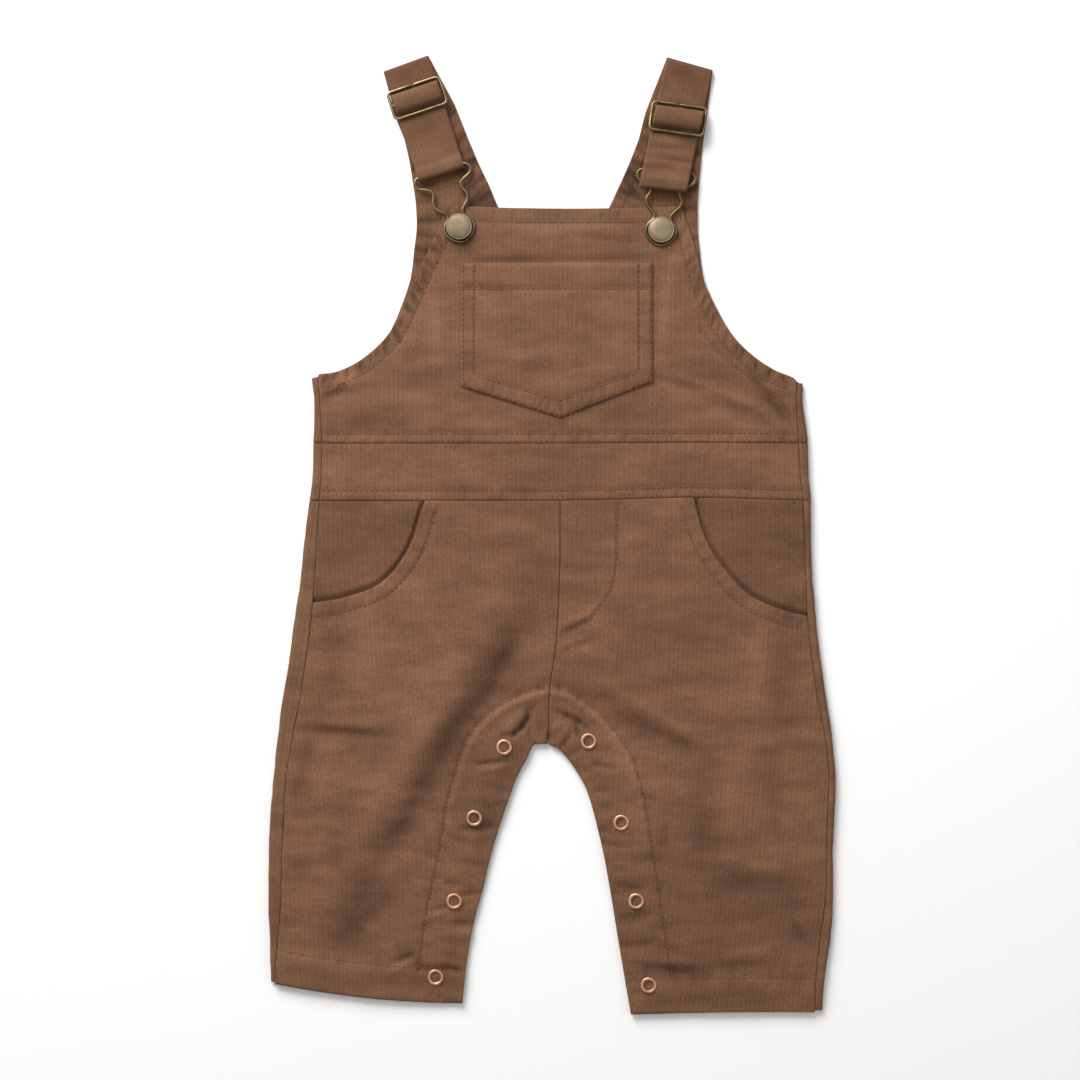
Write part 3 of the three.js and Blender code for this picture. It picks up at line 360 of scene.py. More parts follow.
CREASES = table(
    "x y heading length width rise",
    # left leg, from the crotch down
    (-27.0, -70.5, 63, 32, 8, -0.84),
    (-43.2, -94.8, 49, 30, 9, -0.84),
    (-56.7, -113.7, 63, 20, 9, -0.56),
    (-75.6, -148.8, 61, 60, 10, -0.7),
    (-62.0, -101.0, 52, 48, 11, 0.7),
    (-116.0, -106.7, -4, 42, 3.6, -0.56),
    (-108.0, -102.5, -6, 38, 6, 0.56),
    (-100.0, -208.0, 38, 40, 10, -0.56),
    (-92.0, -193.0, 78, 50, 14, 0.56),
    (-118.0, -66.0, 82, 60, 13, -0.45),
    (-99.0, -55.0, 84, 64, 15, 0.56),
    (-134.0, -128.0, 74, 34, 7, -0.56),
    (-124.0, -165.0, 86, 70, 12, 0.49),
    # puckers at the left inseam's snaps
    (-32.4, -123.2, 7, 17, 2.6, -1.26),
    (-33.0, -126.5, 8, 15, 4, 0.56),
    (-40.0, -159.0, 3, 22, 3.4, -1.12),
    (-50.2, -165.0, -20, 11, 3, -0.84),
    (-53.5, -188.7, -8, 9, 2.6, -0.84),
    (-43.2, -194.1, 4, 12, 2.6, -0.84),
    (-59.4, -201.7, 12, 10, 2.6, -1.12),
    (-66.0, -206.5, 24, 16, 4, 0.56),
    (-47.0, -210.3, -4, 13, 3, -0.98),
    (-60.5, -234.8, -2, 24, 3, -1.12),
    (-79.4, -228.8, 20, 12, 3.4, -1.26),
    (-82.0, -233.4, 24, 16, 4.6, 0.7),
    # crotch
    (-23.6, -108.4, 5, 8, 2.6, -1.26),
    (-18.5, -106.2, 42, 8, 3, -1.54),
    (-14.3, -101.2, 58, 10, 3.2, -1.82),
    (-11.4, -94.6, 12, 7, 3, -0.84),
    (-20.5, -101.0, 50, 14, 6, 0.7),
    (5.6, -96.6, -30, 8, 2.8, -0.98),
    (11.0, -99.6, -26, 11, 3, -1.26),
    (17.0, -102.6, -34, 9, 3, -0.98),
    (14.0, -106.6, -80, 8, 2.6, -1.12),
    (7.7, -111.6, 54, 9, 2.8, -0.98),
    (-2.0, -109.6, 90, 6, 2.2, -1.12),
    (4.8, -104.6, -12, 9, 7, 0.7),
    # right leg
    (28.1, -125.0, -6, 14, 3, -0.98),
    (28.6, -160.7, -14, 11, 3, -0.7),
    (25.9, -167.7, 20, 12, 3.4, -0.7),
    (41.0, -190.4, -4, 14, 3, -0.98),
    (44.8, -206.0, 8, 18, 3.4, -0.84),
    (60.5, -234.6, -9, 40, 4, -0.7),
    (62.0, -229.6, -8, 34, 6, 0.49),
    (61.0, -165.0, 88, 18, 6, -0.56),
    (133.9, -216.3, -56, 20, 5, -0.7),
    (104.0, -178.0, -12, 40, 7, 0.63),
    (55.0, -97.0, -30, 60, 9, 0.7),
    (62.0, -109.5, -22, 44, 7, -0.7),
    (112.0, -66.0, 85, 58, 12, 0.63),
    (100.0, -140.0, 80, 60, 14, 0.56),
    (82.0, -150.0, 84, 66, 13, -0.56),
    (120.0, -138.0, 94, 44, 11, -0.56),
    (30.0, -62.0, -70, 40, 12, 0.42),
    # foot of the mock fly
    (12.4, -46.2, 22, 18, 4, 0.63),
    (14.2, -49.6, 22, 17, 3, -0.56),
    (24.3, -38.6, 43, 13, 4, 0.49),
    (11.9, -57.0, 15, 17, 4, 0.56),
    (13.6, -60.6, 15, 15, 3, -0.49),
    # bib
    (-117.2, 77.0, 24, 14, 4, -1.34),
    (-112.0, 81.5, 24, 16, 6, 0.9),
    (-90.0, 71.0, 6, 60, 9, 0.4),
    (-96.0, 60.0, 172, 44, 10, -0.3),
    (-116.5, 75.2, 20, 14, 3, -0.8),
    (119.0, 71.5, -52, 34, 6, -1.3),
    (72.0, 80.5, -13, 38, 4, -0.7),
    (93.4, 75.0, -22, 46, 6, 0.9),
    (104.0, 66.0, -30, 40, 8, -0.78),
    (62.0, 119.0, 84, 50, 8, 0.67),
    (-62.0, 112.0, 96, 46, 8, 0.67),
    (0.0, 165.0, 2, 70, 8, 0.56),
    (30.0, 160.0, -4, 40, 5, -0.56),
)
# A soft sideways ease of the cloth at the right of the waist
EASE = {"x": 77.0, "y": 20.0, "reach_x": 42.0, "reach_y": 26.0, "rise": 1.7}


def smooth(value, low, high):
    """A share that eases from 0 at low to 1 at high."""
    t = np.clip((value - low) / (high - low), 0, 1)
    return t * t * (3 - 2 * t)


def easy_slope(step, next_step):
    """Slope between two steps of a column, held back so that the curve never swings past a row."""
    least = np.minimum(2 * np.abs(step), 2 * np.abs(next_step))
    slope = np.sign(step) * np.minimum(np.abs(step + next_step) / 2, least)
    return np.where(step * next_step > 0, slope, 0.0)


def at_row(column, row):
    """A smooth curve through a column, at row numbers that need not be whole."""
    last = len(column) - 1
    row = np.asarray(row, dtype=float)
    first = np.clip(np.floor(row), 0, last - 1).astype(int)
    t = row - first
    before, here, after, beyond = (column[np.clip(first + k, 0, last)] for k in (-1, 0, 1, 2))
    slope_here = easy_slope(here - before, after - here)
    slope_after = easy_slope(after - here, beyond - after)
    bend = 3 * (after - here) - 2 * slope_here - slope_after
    twist = 2 * (here - after) + slope_here + slope_after
    return here + t * (slope_here + t * (bend + t * twist))


def side_at(side, column, y):
    """Sideways place of a side seam or of the outer edge at some heights."""
    rows = SIDES[side]
    return at_row(rows[column], np.interp(-np.asarray(y), -rows["y"], np.arange(len(rows["y"]))))


def eased(x, y):
    """Height of a place after the ease at the waist."""
    away = ((x - EASE["x"]) / EASE["reach_x"]) ** 2 + ((y - EASE["y"]) / EASE["reach_y"]) ** 2
    return y + EASE["rise"] * np.exp(-away)


def distance(lines, x, y):
    """Distance of places from the nearest of some lines of plan points."""
    nearest = np.full(np.shape(x), np.inf)
    for line in lines:
        for (from_x, from_y), (to_x, to_y) in zip(line[:-1], line[1:]):
            run_x, run_y = to_x - from_x, to_y - from_y
            share = ((x - from_x) * run_x + (y - from_y) * run_y) / max(run_x**2 + run_y**2, 1e-9)
            share = np.clip(share, 0, 1)
            nearest = np.minimum(nearest, np.hypot(x - from_x - share * run_x, y - from_y - share * run_y))
    return nearest


def stations_of(line):
    """How far along a line of plan points each of them is."""
    return np.concatenate([[0], np.cumsum(np.hypot(*np.diff(line, axis=0).T))])


def spaced(points, step):
    """A line of plan points with even steps no longer than step."""
    points = np.array(points, dtype=float)
    stations = stations_of(points)
    count = max(int(math.ceil(stations[-1] / step)), 1)
    where = np.linspace(0, stations[-1], count + 1)
    return np.stack([np.interp(where, stations, points[:, axis]) for axis in (0, 1)], axis=1)


def offset(line, reach):
    """The line moved sideways, to its left where reach is positive."""
    line = np.array(line, dtype=float)
    run = np.gradient(line, axis=0)
    run /= np.hypot(run[:, 0], run[:, 1])[:, None]
    return line + reach * np.stack([-run[:, 1], run[:, 0]], axis=1)


def curve(x_column, y_column, first, last, steps_a_row=12):
    """The smooth line that two columns give between two rows."""
    rows = np.linspace(first, last, int(abs(last - first) * steps_a_row) + 1)
    return np.stack([at_row(x_column, rows), at_row(y_column, rows)], axis=1)


def seam_line(side, low, high, steps):
    """The front's edge at a side seam, between two heights."""
    heights = np.linspace(low, high, steps)
    return np.stack([side_at(side, "seam", heights) - SIGN[side] * SEAM / 2, heights], axis=1)


def sagging(start, end, sag, steps):
    """A line between two plan points that hangs through in its middle."""
    share = np.linspace(0, 1, steps)[:, None]
    line = start + share * (end - start)
    line[:, 1] -= sag * 4 * (share * (1 - share))[:, 0]
    return line


def joined(*lines):
    """A closed outline of lines that follow each other, in steps of about a millimetre."""
    return np.concatenate([spaced(line, 1.0)[:-1] for line in lines])


def free_edges():
    """Edges of the front that are sewn to nothing, where it comes down onto the back."""
    lines = [[(BIB["left_x"][-1], BIB["left_y"][-1]), (BIB["right_x"][-1], BIB["right_y"][-1])]]
    for side in SIGN:
        leg = LEGS[side]
        inseam = list(zip(leg["inside_x"], leg["inside_y"]))[CROTCH_ROW:]
        lines.append(inseam + [(float(side_at(side, "edge", leg["side_y"][-1])), leg["side_y"][-1])])
        lines.append(list(zip(BIB[f"{side}_x"], BIB[f"{side}_y"]))[ARMHOLE_ROW:])
    return lines


FREE_EDGES = free_edges()


FOLD_REACH = (1.6, 2.6)  # how many half lengths and half widths away a fold counts


def raised(rows, x, y):
    """Height that a table of folds adds at some places."""
    height = np.zeros(np.shape(x))
    for fold_x, fold_y, heading, length, width, rise in zip(*rows.values()):
        cos, sin = math.cos(math.radians(heading)), math.sin(math.radians(heading))
        along = ((x - fold_x) * cos + (y - fold_y) * sin) / (length / 2)
        across = ((y - fold_y) * cos - (x - fold_x) * sin) / (width / 2)
        near = (np.abs(along) < FOLD_REACH[0]) & (np.abs(across) < FOLD_REACH[1])
        height[near] += rise * np.exp(-(along[near] ** 4) - across[near] ** 2)
    return height


CELLS = 260


def uneven(x, y, wide, high, seed):
    """Slow random rise and fall from -1 to 1, over cells of a given width and height."""
    steps = np.random.default_rng(seed).uniform(-1, 1, (CELLS, CELLS))
    grid_x, grid_y = x / wide + CELLS / 2, y / high + CELLS / 2
    left, low = np.floor(grid_x).astype(int), np.floor(grid_y).astype(int)
    t, s = smooth(grid_x - left, 0, 1), smooth(grid_y - low, 0, 1)
    lower = steps[left, low] * (1 - t) + steps[left + 1, low] * t
    upper = steps[left, low + 1] * (1 - t) + steps[left + 1, low + 1] * t
    return lower * (1 - s) + upper * s


def front_over(x, y):
    """Height of the front's outer face over the surface, before creases."""
    free = distance(FREE_EDGES, x, y)
    middle = 1 - (2 * x / (side_at("right", "seam", y) - side_at("left", "seam", y))) ** 2
    loft = LOFT * smooth(free, 0, LOFT_REACH) * np.maximum(middle, 0)
    base = BODY_UNDER + (BIB_UNDER - BODY_UNDER) * smooth(y, *BIB_FALL)
    inner = base + (loft + raised(FOLDS, x, y)) * smooth(free, 2, EDGE_FALL)
    under = EDGE_UNDER + (inner - EDGE_UNDER) * smooth(free, 0, EDGE_FALL)
    return np.maximum(EDGE_UNDER, under) + WALL


# How much puckers differ: least and most share of their first step, later steps, length, width and
# rise, and the spread of their heading in degrees
FIRST_STEP = (0.3, 1)
STEP_SHARE = (0.55, 1.6)
LENGTH_SHARE = (0.5, 1.3)
WIDTH_SHARE = (0.8, 1.25)
RISE_SHARE = (0.3, 1.3)
TURN_SPREAD = 10


def puckers(line, seed, spacing=5.6, length=8.0, width=3.0, rise=-0.4, slant=75.0):
    """Short creases at uneven steps along a sewn line."""
    random = np.random.default_rng(seed)
    line = np.array(line, dtype=float)
    stations = stations_of(line)
    rows = []
    at = spacing * random.uniform(*FIRST_STEP)
    while at < stations[-1]:
        (x, y), (next_x, next_y) = (
            [np.interp(station, stations, line[:, axis]) for axis in (0, 1)] for station in (at, at + 0.5)
        )
        heading = math.degrees(math.atan2(next_y - y, next_x - x)) + slant + random.normal(0, TURN_SPREAD)
        sizes = [
            size * random.uniform(*shares)
            for size, shares in ((length, LENGTH_SHARE), (width, WIDTH_SHARE), (rise, RISE_SHARE))
        ]
        rows.append((x, y, heading, *sizes))
        at += spacing * random.uniform(*STEP_SHARE)
    return table("x y heading length width rise", *rows)


RIDGE_STEP = 5.0
RIDGE_LENGTH = 8.6
RIDGE_END = 0.2


def ridge(line, width, rise):
    """A ridge along a line, of folds that overlap and die away towards the line's end."""
    line = spaced(line, RIDGE_STEP)
    runs = np.gradient(line, axis=0)
    fading = np.linspace(1, RIDGE_END, len(line))
    return table("x y heading length width rise", *(
        (x, y, math.degrees(math.atan2(run_y, run_x)), RIDGE_LENGTH, width, rise * share)
        for (x, y), (run_x, run_y), share in zip(line, runs, fading)
    ))


FURROW_DEPTH = 0.55
FURROW_WIDTH = 0.8
HEM_RISE = 0.4
HEM_STEP = (-0.3, 1.2)  # where a hem's step begins and ends, counted from its width


def sewn(x, y, stitched=(), hems=()):
    """How stitching draws the cloth in, and how a turned hem stands up."""
    height = np.zeros(np.shape(x))
    for line in stitched:
        height -= FURROW_DEPTH * np.exp(-((distance([line], x, y) / FURROW_WIDTH) ** 2))
    for line, width in hems:
        height += HEM_RISE * (1 - smooth(distance([line], x, y) - width, *HEM_STEP))
    return height


WALES = 512
WALE_SIZES = (0.8, 1.0)
WALE_ROUNDNESS = 0.6


def ribs(across, seed=5):
    """Height of the corduroy's round ridges, from 0 in a groove to 1."""
    wale = np.round(across / WALE).astype(int)
    size = np.random.default_rng(seed).uniform(*WALE_SIZES, WALES)
    return np.abs(np.cos(math.pi * across / WALE)) ** WALE_ROUNDNESS * size[wale + WALES // 2]


def falling(away, rounding=ROUNDING):
    """How far a rounded edge falls, by the distance from it."""
    return rounding - np.sqrt(np.maximum(rounding**2 - np.maximum(rounding - away, 0) ** 2, 0))


def lean_of(name):
    """Sideways run of a wale at a height y, from the waist down, or along the garment's side."""
    if name in BACK_SIDES:
        return lambda y: side_at(BACK_SIDES[name], "edge", y)
    rows = LEANS[name]
    heights = np.linspace(300, -300, 601)
    slopes = np.tan(np.radians(np.interp(-heights, -rows["y"], rows["lean"])))
    runs = np.cumsum(slopes) * (heights[0] - heights[1])
    runs -= np.interp(-WAIST_Y, -heights, runs)
    return lambda y: np.interp(-np.asarray(y), -heights, runs)


def lattice(outline, lean, column, row, clear):
    """Places on the wales' columns and rows inside an outline, clear of its edge."""
    ahead = np.roll(outline, -1, axis=0)
    found = []
    for y in np.arange(outline[:, 1].min() + row / 2, outline[:, 1].max(), row):
        crossed = (outline[:, 1] > y) != (ahead[:, 1] > y)
        start, end = outline[crossed], ahead[crossed]
        share = (y - start[:, 1]) / (end[:, 1] - start[:, 1])
        ends = np.sort(start[:, 0] + share * (end[:, 0] - start[:, 0]))
        run = float(lean(y))
        for left, right in zip(ends[::2], ends[1::2]):
            steps = np.arange(math.ceil((left - run) / column), math.floor((right - run) / column) + 1)
            found.append(np.stack([steps * column + run, np.full(len(steps), y)], axis=1))
    found = np.concatenate(found)
    closed = np.concatenate([outline, outline[:1]])
    return found[distance([closed], found[:, 0], found[:, 1]) > clear]


def filled(outline, spots, stretch):
    """Triangles that fill an outline through some places inside it. A triangle that bridges a hollow of the
    outline meets its corners the other way round, and is left out."""
    points = np.concatenate([outline, spots])
    ring = list(range(len(outline)))
    flat = [Vector((x, y * stretch)) for x, y in points]
    _, _, faces, origins, _, _ = delaunay_2d_cdt(flat, [], [ring], 1, 1e-5, True)
    faces = np.array([min(ids) for ids in origins])[np.array(faces)]
    a, b, c = faces.T
    count = len(outline)
    bridging = np.all(faces < count, axis=1)
    kept = ~bridging | ((b - a) % count < (c - a) % count)
    return points, faces[kept]


def area_of(outline):
    """Area in an outline, below 0 where it runs clockwise."""
    x, y = outline[:, 0], outline[:, 1]
    return np.sum(x * np.roll(y, -1) - y * np.roll(x, -1)) / 2


COARSE = 5.0  # step of the places inside a face that shows no wales
RIMS = (0.3, 0.75)  # how far inside the edge the rows of places lie that round it
NEAREST = 1.2  # how near the edge the wales' own places come


def shell(name, outline, faces_and_pile_shading, material, lean="none", outer_fine=None, inner_fine=False):
    """A closed sheet of cloth with a rounded edge. Its two faces turn places on the flat cloth, and their
    distance from its edge, into points. outer_fine tells where the wales are modelled."""
    outer, inner, pile_tone_and_shade = faces_and_pile_shading
    run = lean_of(lean)
    if area_of(outline) < 0:
        outline = outline[::-1]
    closed = np.concatenate([outline, outline[:1]])
    faces_of = []
    for face, fine in ((outer, outer_fine), (inner, inner_fine)):
        coarse = lattice(outline, run, COARSE, COARSE, COARSE / 2)
        if fine is False:
            spots, away = coarse, distance([closed], coarse[:, 0], coarse[:, 1])
            stretch = 1.0
        else:
            dense = lattice(outline, run, COLUMN, ROW, NEAREST)
            if fine is not None:
                dense = dense[fine(dense[:, 0], dense[:, 1])]
                dense = np.concatenate([dense, coarse[~fine(coarse[:, 0], coarse[:, 1])]])
            rims = []
            for reach in RIMS:
                rim = offset(np.concatenate([outline[-1:], outline, outline[:1]]), reach)[1:-1]
                rims.append(rim[np.abs(distance([closed], rim[:, 0], rim[:, 1]) - reach) < 0.03])
            spots = np.concatenate([*rims, dense])
            away = distance([closed], spots[:, 0], spots[:, 1])
            stretch = COLUMN / ROW
        points, faces = filled(outline, spots, stretch)
        away = np.concatenate([np.zeros(len(outline)), away])
        faces_of.append((points, faces, face(points[:, 0], points[:, 1], away)))
    (flat_outer, outer_faces, outer_points), (flat_inner, inner_faces, inner_points) = faces_of
    count = len(outer_points)
    ring = np.arange(len(outline))
    ahead = np.roll(ring, -1)
    rim_faces = np.concatenate([
        np.stack([ring, ring + count, ahead + count], axis=1),
        np.stack([ring, ahead + count, ahead], axis=1),
    ])
    points = np.concatenate([outer_points, inner_points])
    faces = np.concatenate([outer_faces, inner_faces[:, ::-1] + count, rim_faces])
    flat = np.concatenate([flat_outer, flat_inner])
    across = flat[:, 0] - run(flat[:, 1])
    return cloth_object(name, points, faces, across, flat[:, 1], pile_tone_and_shade(flat[:, 0], flat[:, 1]), material)


def smooth_object(name, points, faces, sharp, material):
    """A smooth mesh object of points in millimetres, with edges sharp past some degrees."""
    mesh = bpy.data.meshes.new(name)
    mesh.from_pydata((np.array(points) * MM).tolist(), [], faces)
    mesh.shade_smooth()
    mesh.set_sharp_from_angle(angle=math.radians(sharp))
    return place(name, mesh, material)


def cloth_object(name, points, faces, across, along, pile_tone_and_shade, material):
    """Cloth whose faces all point outwards, with its own directions as its UV map and its pile's tone,
    which carries painted shade and painted light.
    """
    a, b, c = (points[faces[:, corner]] for corner in range(3))
    if np.einsum("ij,ij->", a, np.cross(b, c)) < 0:
        faces = faces[:, ::-1]
    made = smooth_object(name, points, faces.tolist(), 60, material)
    mesh = made.data
    corners = np.empty(len(mesh.loops), dtype=np.int32)
    mesh.loops.foreach_get("vertex_index", corners)
    grain = mesh.uv_layers.new(name="grain")
    grain.data.foreach_set("uv", (np.stack([across, along], axis=1)[corners] * MM).ravel())
    mesh.attributes.new("pile_tone_and_shade", "FLOAT", "POINT").data.foreach_set("value", pile_tone_and_shade.astype(np.float32))
    return made


# How far a wale strays sideways
WANDER = 0.3
# How the pile's tone varies: cells a metre across and along the wales, their detail, and their swing
PILE_TONES = (
    (3600.0, 1500.0, 3.0, 0.16),
    (900.0, 560.0, 2.0, 0.16),
    (480.0, 60.0, 2.0, 0.06),
    (36.0, 95.0, 4.0, 0.15),
)


def calc(tree, operation, first, **more):
    """What a Math node works out."""
    return node(tree, "ShaderNodeMath", {"operation": operation}, _0=first, **more).outputs[0]


def ranged(tree, value, low, high, to_low=0.0, to_high=1.0):
    """A value between low and high, spread from to_low to to_high."""
    return node(
        tree, "ShaderNodeMapRange",
        Value=value, From_Min=low, From_Max=high, To_Min=to_low, To_Max=to_high,
    ).outputs[0]


def bumped(tree, shader, height, strength, depth):
    """Relief of the shader's skin, a number of metres deep."""
    lift = node(tree, "ShaderNodeBump", Height=height, Strength=strength, Distance=depth)
    tree.links.new(lift.outputs[0], shader.inputs["Normal"])


def corduroy(name, pile, groove, bump, tones=PILE_TONES):
    """Corduroy whose ridges follow the UV map: paler pile on them, and painted shade that darkens the
    grooves.
    """
    material, tree, shader = principled(name, 0.92)
    shader.inputs["Sheen Weight"].default_value = 0.1
    shader.inputs["Sheen Roughness"].default_value = 0.45
    shader.inputs["Sheen Tint"].default_value = (0.85, 0.62, 0.48, 1)
    shader.inputs["Specular IOR Level"].default_value = 0.15
    grain = node(tree, "ShaderNodeUVMap", {"uv_map": "grain"}).outputs["UV"]
    across = node(tree, "ShaderNodeSeparateXYZ", Vector=grain).outputs["X"]
    wander = noise(tree, 55.0, 1.0, Vector=node(tree, "ShaderNodeTexCoord").outputs["Object"])
    wandered = calc(tree, "MULTIPLY_ADD", wander, _1=WANDER * MM, _2=across)
    turn = calc(tree, "MULTIPLY", wandered, _1=math.pi / (WALE * MM))
    crest = calc(tree, "ABSOLUTE", calc(tree, "COSINE", turn))
    soft = calc(tree, "POWER", crest, _1=0.75)
    # the mesh's pile tone, with painted shade and painted light in it
    tone, fibres = node(tree, "ShaderNodeAttribute", {"attribute_name": "pile_tone_and_shade"}).outputs["Fac"], []
    for cells_across, cells_along, detail, swing in tones:
        drawn = node(tree, "ShaderNodeMapping", Vector=grain, Scale=(cells_across, cells_along, 1.0))
        fibres.append(noise(tree, 1.0, detail, Vector=drawn.outputs[0]))
        tone = calc(tree, "MULTIPLY", tone, _1=ranged(tree, fibres[-1], 0.28, 0.72, 1 - swing, 1 + swing))
    # painted shade: the grooves take a darker colour than the pile's ridges
    pile_and_groove_shade = two_tone(tree, soft, groove, pile)
    shaded = node(tree, "ShaderNodeVectorMath", {"operation": "SCALE"}, _0=pile_and_groove_shade, Scale=tone)
    tree.links.new(shaded.outputs[0], shader.inputs["Base Color"])
    bumped(tree, shader, calc(tree, "MULTIPLY_ADD", fibres[0], _1=0.5, _2=soft), bump, 0.3 * MM)
    return material


front_cord = corduroy("brown_corduroy", (0.163, 0.081, 0.045), (0.147, 0.0725, 0.040), 0.22)


def stands_for(piece, node_name):
    """Hides the CAD node whose place a piece takes, and hangs the piece under the root."""
    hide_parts(node_name)
    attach(piece, "root")


def laid(piece, node_name):
    """Hides the CAD node whose place a flat-lying sheet takes, and hangs the sheet under the root."""
    stands_for(piece, node_name)


# Slow rise and fall of laid cloth: width and height of the cells, rise, and seed
UNEVENNESS = ((34, 22, 0.45, 3), (24, 8, 0.3, 4), (9, 5, 0.12, 6))
# The pile's colour takes painted shade in hollows and along sewn rows and painted light on ridges, and its
# tone drifts at random in cells like those above
PAINTED_FOLD_SHADING = 0.13
PAINTED_CREASE_SHADING = 0.28
PAINTED_SEAM_SHADE = 0.065
PAINTED_SEAM_SHADE_WIDTH = 1.2
NAP_DRIFTS = ((42, 22, 0.1, 23), (15, 5, 0.09, 24), (6, 2.6, 0.06, 25))
PILE_SHADING_RANGE = (0.5, 1.35)


def drifting(x, y):
    """Tone of the pile from its drifts alone."""
    return 1 + sum(swing * uneven(x, y, wide, high, seed) for wide, high, swing, seed in NAP_DRIFTS)


def front_faces(stitched=(), hems=(), more=(), lean="none"):
    """Outer and inner face of a panel of the front, with creases, seams, hems and wales, and its pile tone
    with painted shade and painted light.
    """
    run = lean_of(lean)

    def puckered(x, y):
        """Height that this panel's own puckers and ridges add."""
        return sum((raised(rows, x, y) for rows in more), np.zeros(np.shape(x)))

    def drape(x, y):
        """Height of the outer face, and how much deeper its creases would go into what it lies on."""
        height = front_over(x, y) + raised(CREASES, x, y)
        for wide, high, rise, seed in UNEVENNESS:
            height += rise * uneven(x, y, wide, high, seed)
        resting = np.maximum(height, BACK_CLEAR + WALL)
        return resting, resting - height

    def pile_tone_and_shade(x, y):
        # painted shade in creases, puckers and fold troughs and along stitched rows, painted light on
        # ridges, over a random drift of tone
        hollows = raised(CREASES, x, y) + puckered(x, y)
        tone = drifting(x, y) + PAINTED_FOLD_SHADING * raised(FOLDS, x, y) + PAINTED_CREASE_SHADING * hollows
        for line in stitched:
            tone -= PAINTED_SEAM_SHADE * np.exp(-((distance([line], x, y) / PAINTED_SEAM_SHADE_WIDTH) ** 2))
        return np.clip(tone, *PILE_SHADING_RANGE)

    def outer(x, y, away):
        wales = CREST * (ribs(x - run(y)) - 1)
        lying = eased(x, y)
        resting, deeper = drape(x, lying)
        relief = sewn(x, y, stitched, hems) + puckered(x, lying) - deeper + wales - falling(away)
        return np.stack([x, lying, resting + np.maximum(relief, -DENT)], axis=1)

    def inner(x, y, away):
        lying = eased(x, y)
        return np.stack([x, lying, drape(x, lying)[0] - WALL], axis=1)

    return outer, inner, pile_tone_and_shade


# Stitch rows of the inseam's plackets and of the mock fly, and how far in the mouths are stitched
PLACKETS = {
    "left": (
        (-3.0, -82.6), (-10.3, -84.0), (-19.4, -87.2), (-29.2, -92.6), (-38.9, -100.6),
        (-46.4, -111.0), (-51.3, -124.5), (-57.2, -146.1), (-60.4, -168.8), (-64.3, -188.0),
        (-68.0, -205.2), (-72.3, -236.5),
    ),
    "right": (
        (0.6, -82.4), (9.2, -84.5), (18.9, -90.5), (28.6, -98.6), (36.7, -108.7),
        (44.8, -121.8), (50.2, -143.4), (54.5, -170.0), (58.6, -198.0), (62.0, -220.0),
        (65.0, -240.0),
    ),
}
MOCK_FLY = ((35.6, 16.5), (35.1, -13.8), (32.9, -28.4), (28.1, -35.8), (21.1, -45.1), (6.0, -54.0))
MOUTH_STITCH = 7.2

front_stitches = {}
for side, sign in SIGN.items():
    leg, mouth = LEGS[side], MOUTHS[side]
    hem_row = len(leg["side_y"]) - 1
    inside = curve(leg["inside_x"], leg["inside_y"], 0, hem_row)
    side_line = seam_line(side, leg["side_y"][-1], mouth["y"][-1], 160)
    inside[:, 0] -= sign * SEAM
    mouth_line = curve(mouth["x"], mouth["y"], MOUTH_ROW, 0)
    hem = sagging(inside[-1], side_line[0], HEM_SAG[side], 60)
    mouth_line[-1, 1] -= SEAM / 2
    inside[0, 1] -= SEAM / 2
    outline = joined(inside, hem, side_line, mouth_line, [mouth_line[-1], inside[0]])
    inseam = curve(leg["inside_x"], leg["inside_y"], CROTCH_ROW, hem_row)
    placket = spaced(PLACKETS[side], 2.0)
    mouth_stitch = offset(spaced(mouth_line, 2.0), sign * MOUTH_STITCH)[1:-2]
    hem_stitch = hem + (0, HEM_WIDTH)
    stitched = [placket, mouth_stitch, hem_stitch]
    if side == "right":
        stitched.append(spaced(MOCK_FLY, 2.0))
    more = [
        puckers(offset(mouth_line, sign * MOUTH_STITCH / 2), 11 + sign, spacing=6.0, rise=-0.4),
        puckers(offset(inseam, sign * 8), 21 + sign, spacing=10, length=16, width=3.4, rise=-0.6, slant=80),
        puckers(placket, 31 + sign, spacing=8, length=10, width=3.6, rise=-0.45, slant=70),
        ridge(offset(placket, -sign * 3.0)[: len(placket) * 3 // 5], 4.4, 0.75),
        puckers(hem_stitch, 41 + sign, spacing=10, length=12, width=4, rise=-0.35, slant=85),
    ]
    hems = [(mouth_line, MOUTH_STITCH), (hem, HEM_WIDTH)]
    leg_faces = front_faces(stitched, hems, more, side)
    leg_cloth = shell(f"front_leg_cloth_{side}", outline, leg_faces, front_cord, side)
    laid(leg_cloth, f"front_leg_{side}")
    front_stitches[f"front_leg_{side}"] = (stitched, leg_faces[0])


# Bib
# One cut of corduroy down to the waist seam. Its top and armholes are turned in and topstitched, and
# the stitching draws the armhole edges into short puckers.
BIB_SEAM_Y = 49.3
BIB_TOP_SAG = 1.5
BIB_STITCH = 5.2
ARMHOLE_HEM = 7.0
TOP_HEM = 7.4
BIB_FACING = ((79.9, 110.4), (90.0, 98.5), (101.5, 88.8), (123.1, 72.6), (129.0, 63.0))

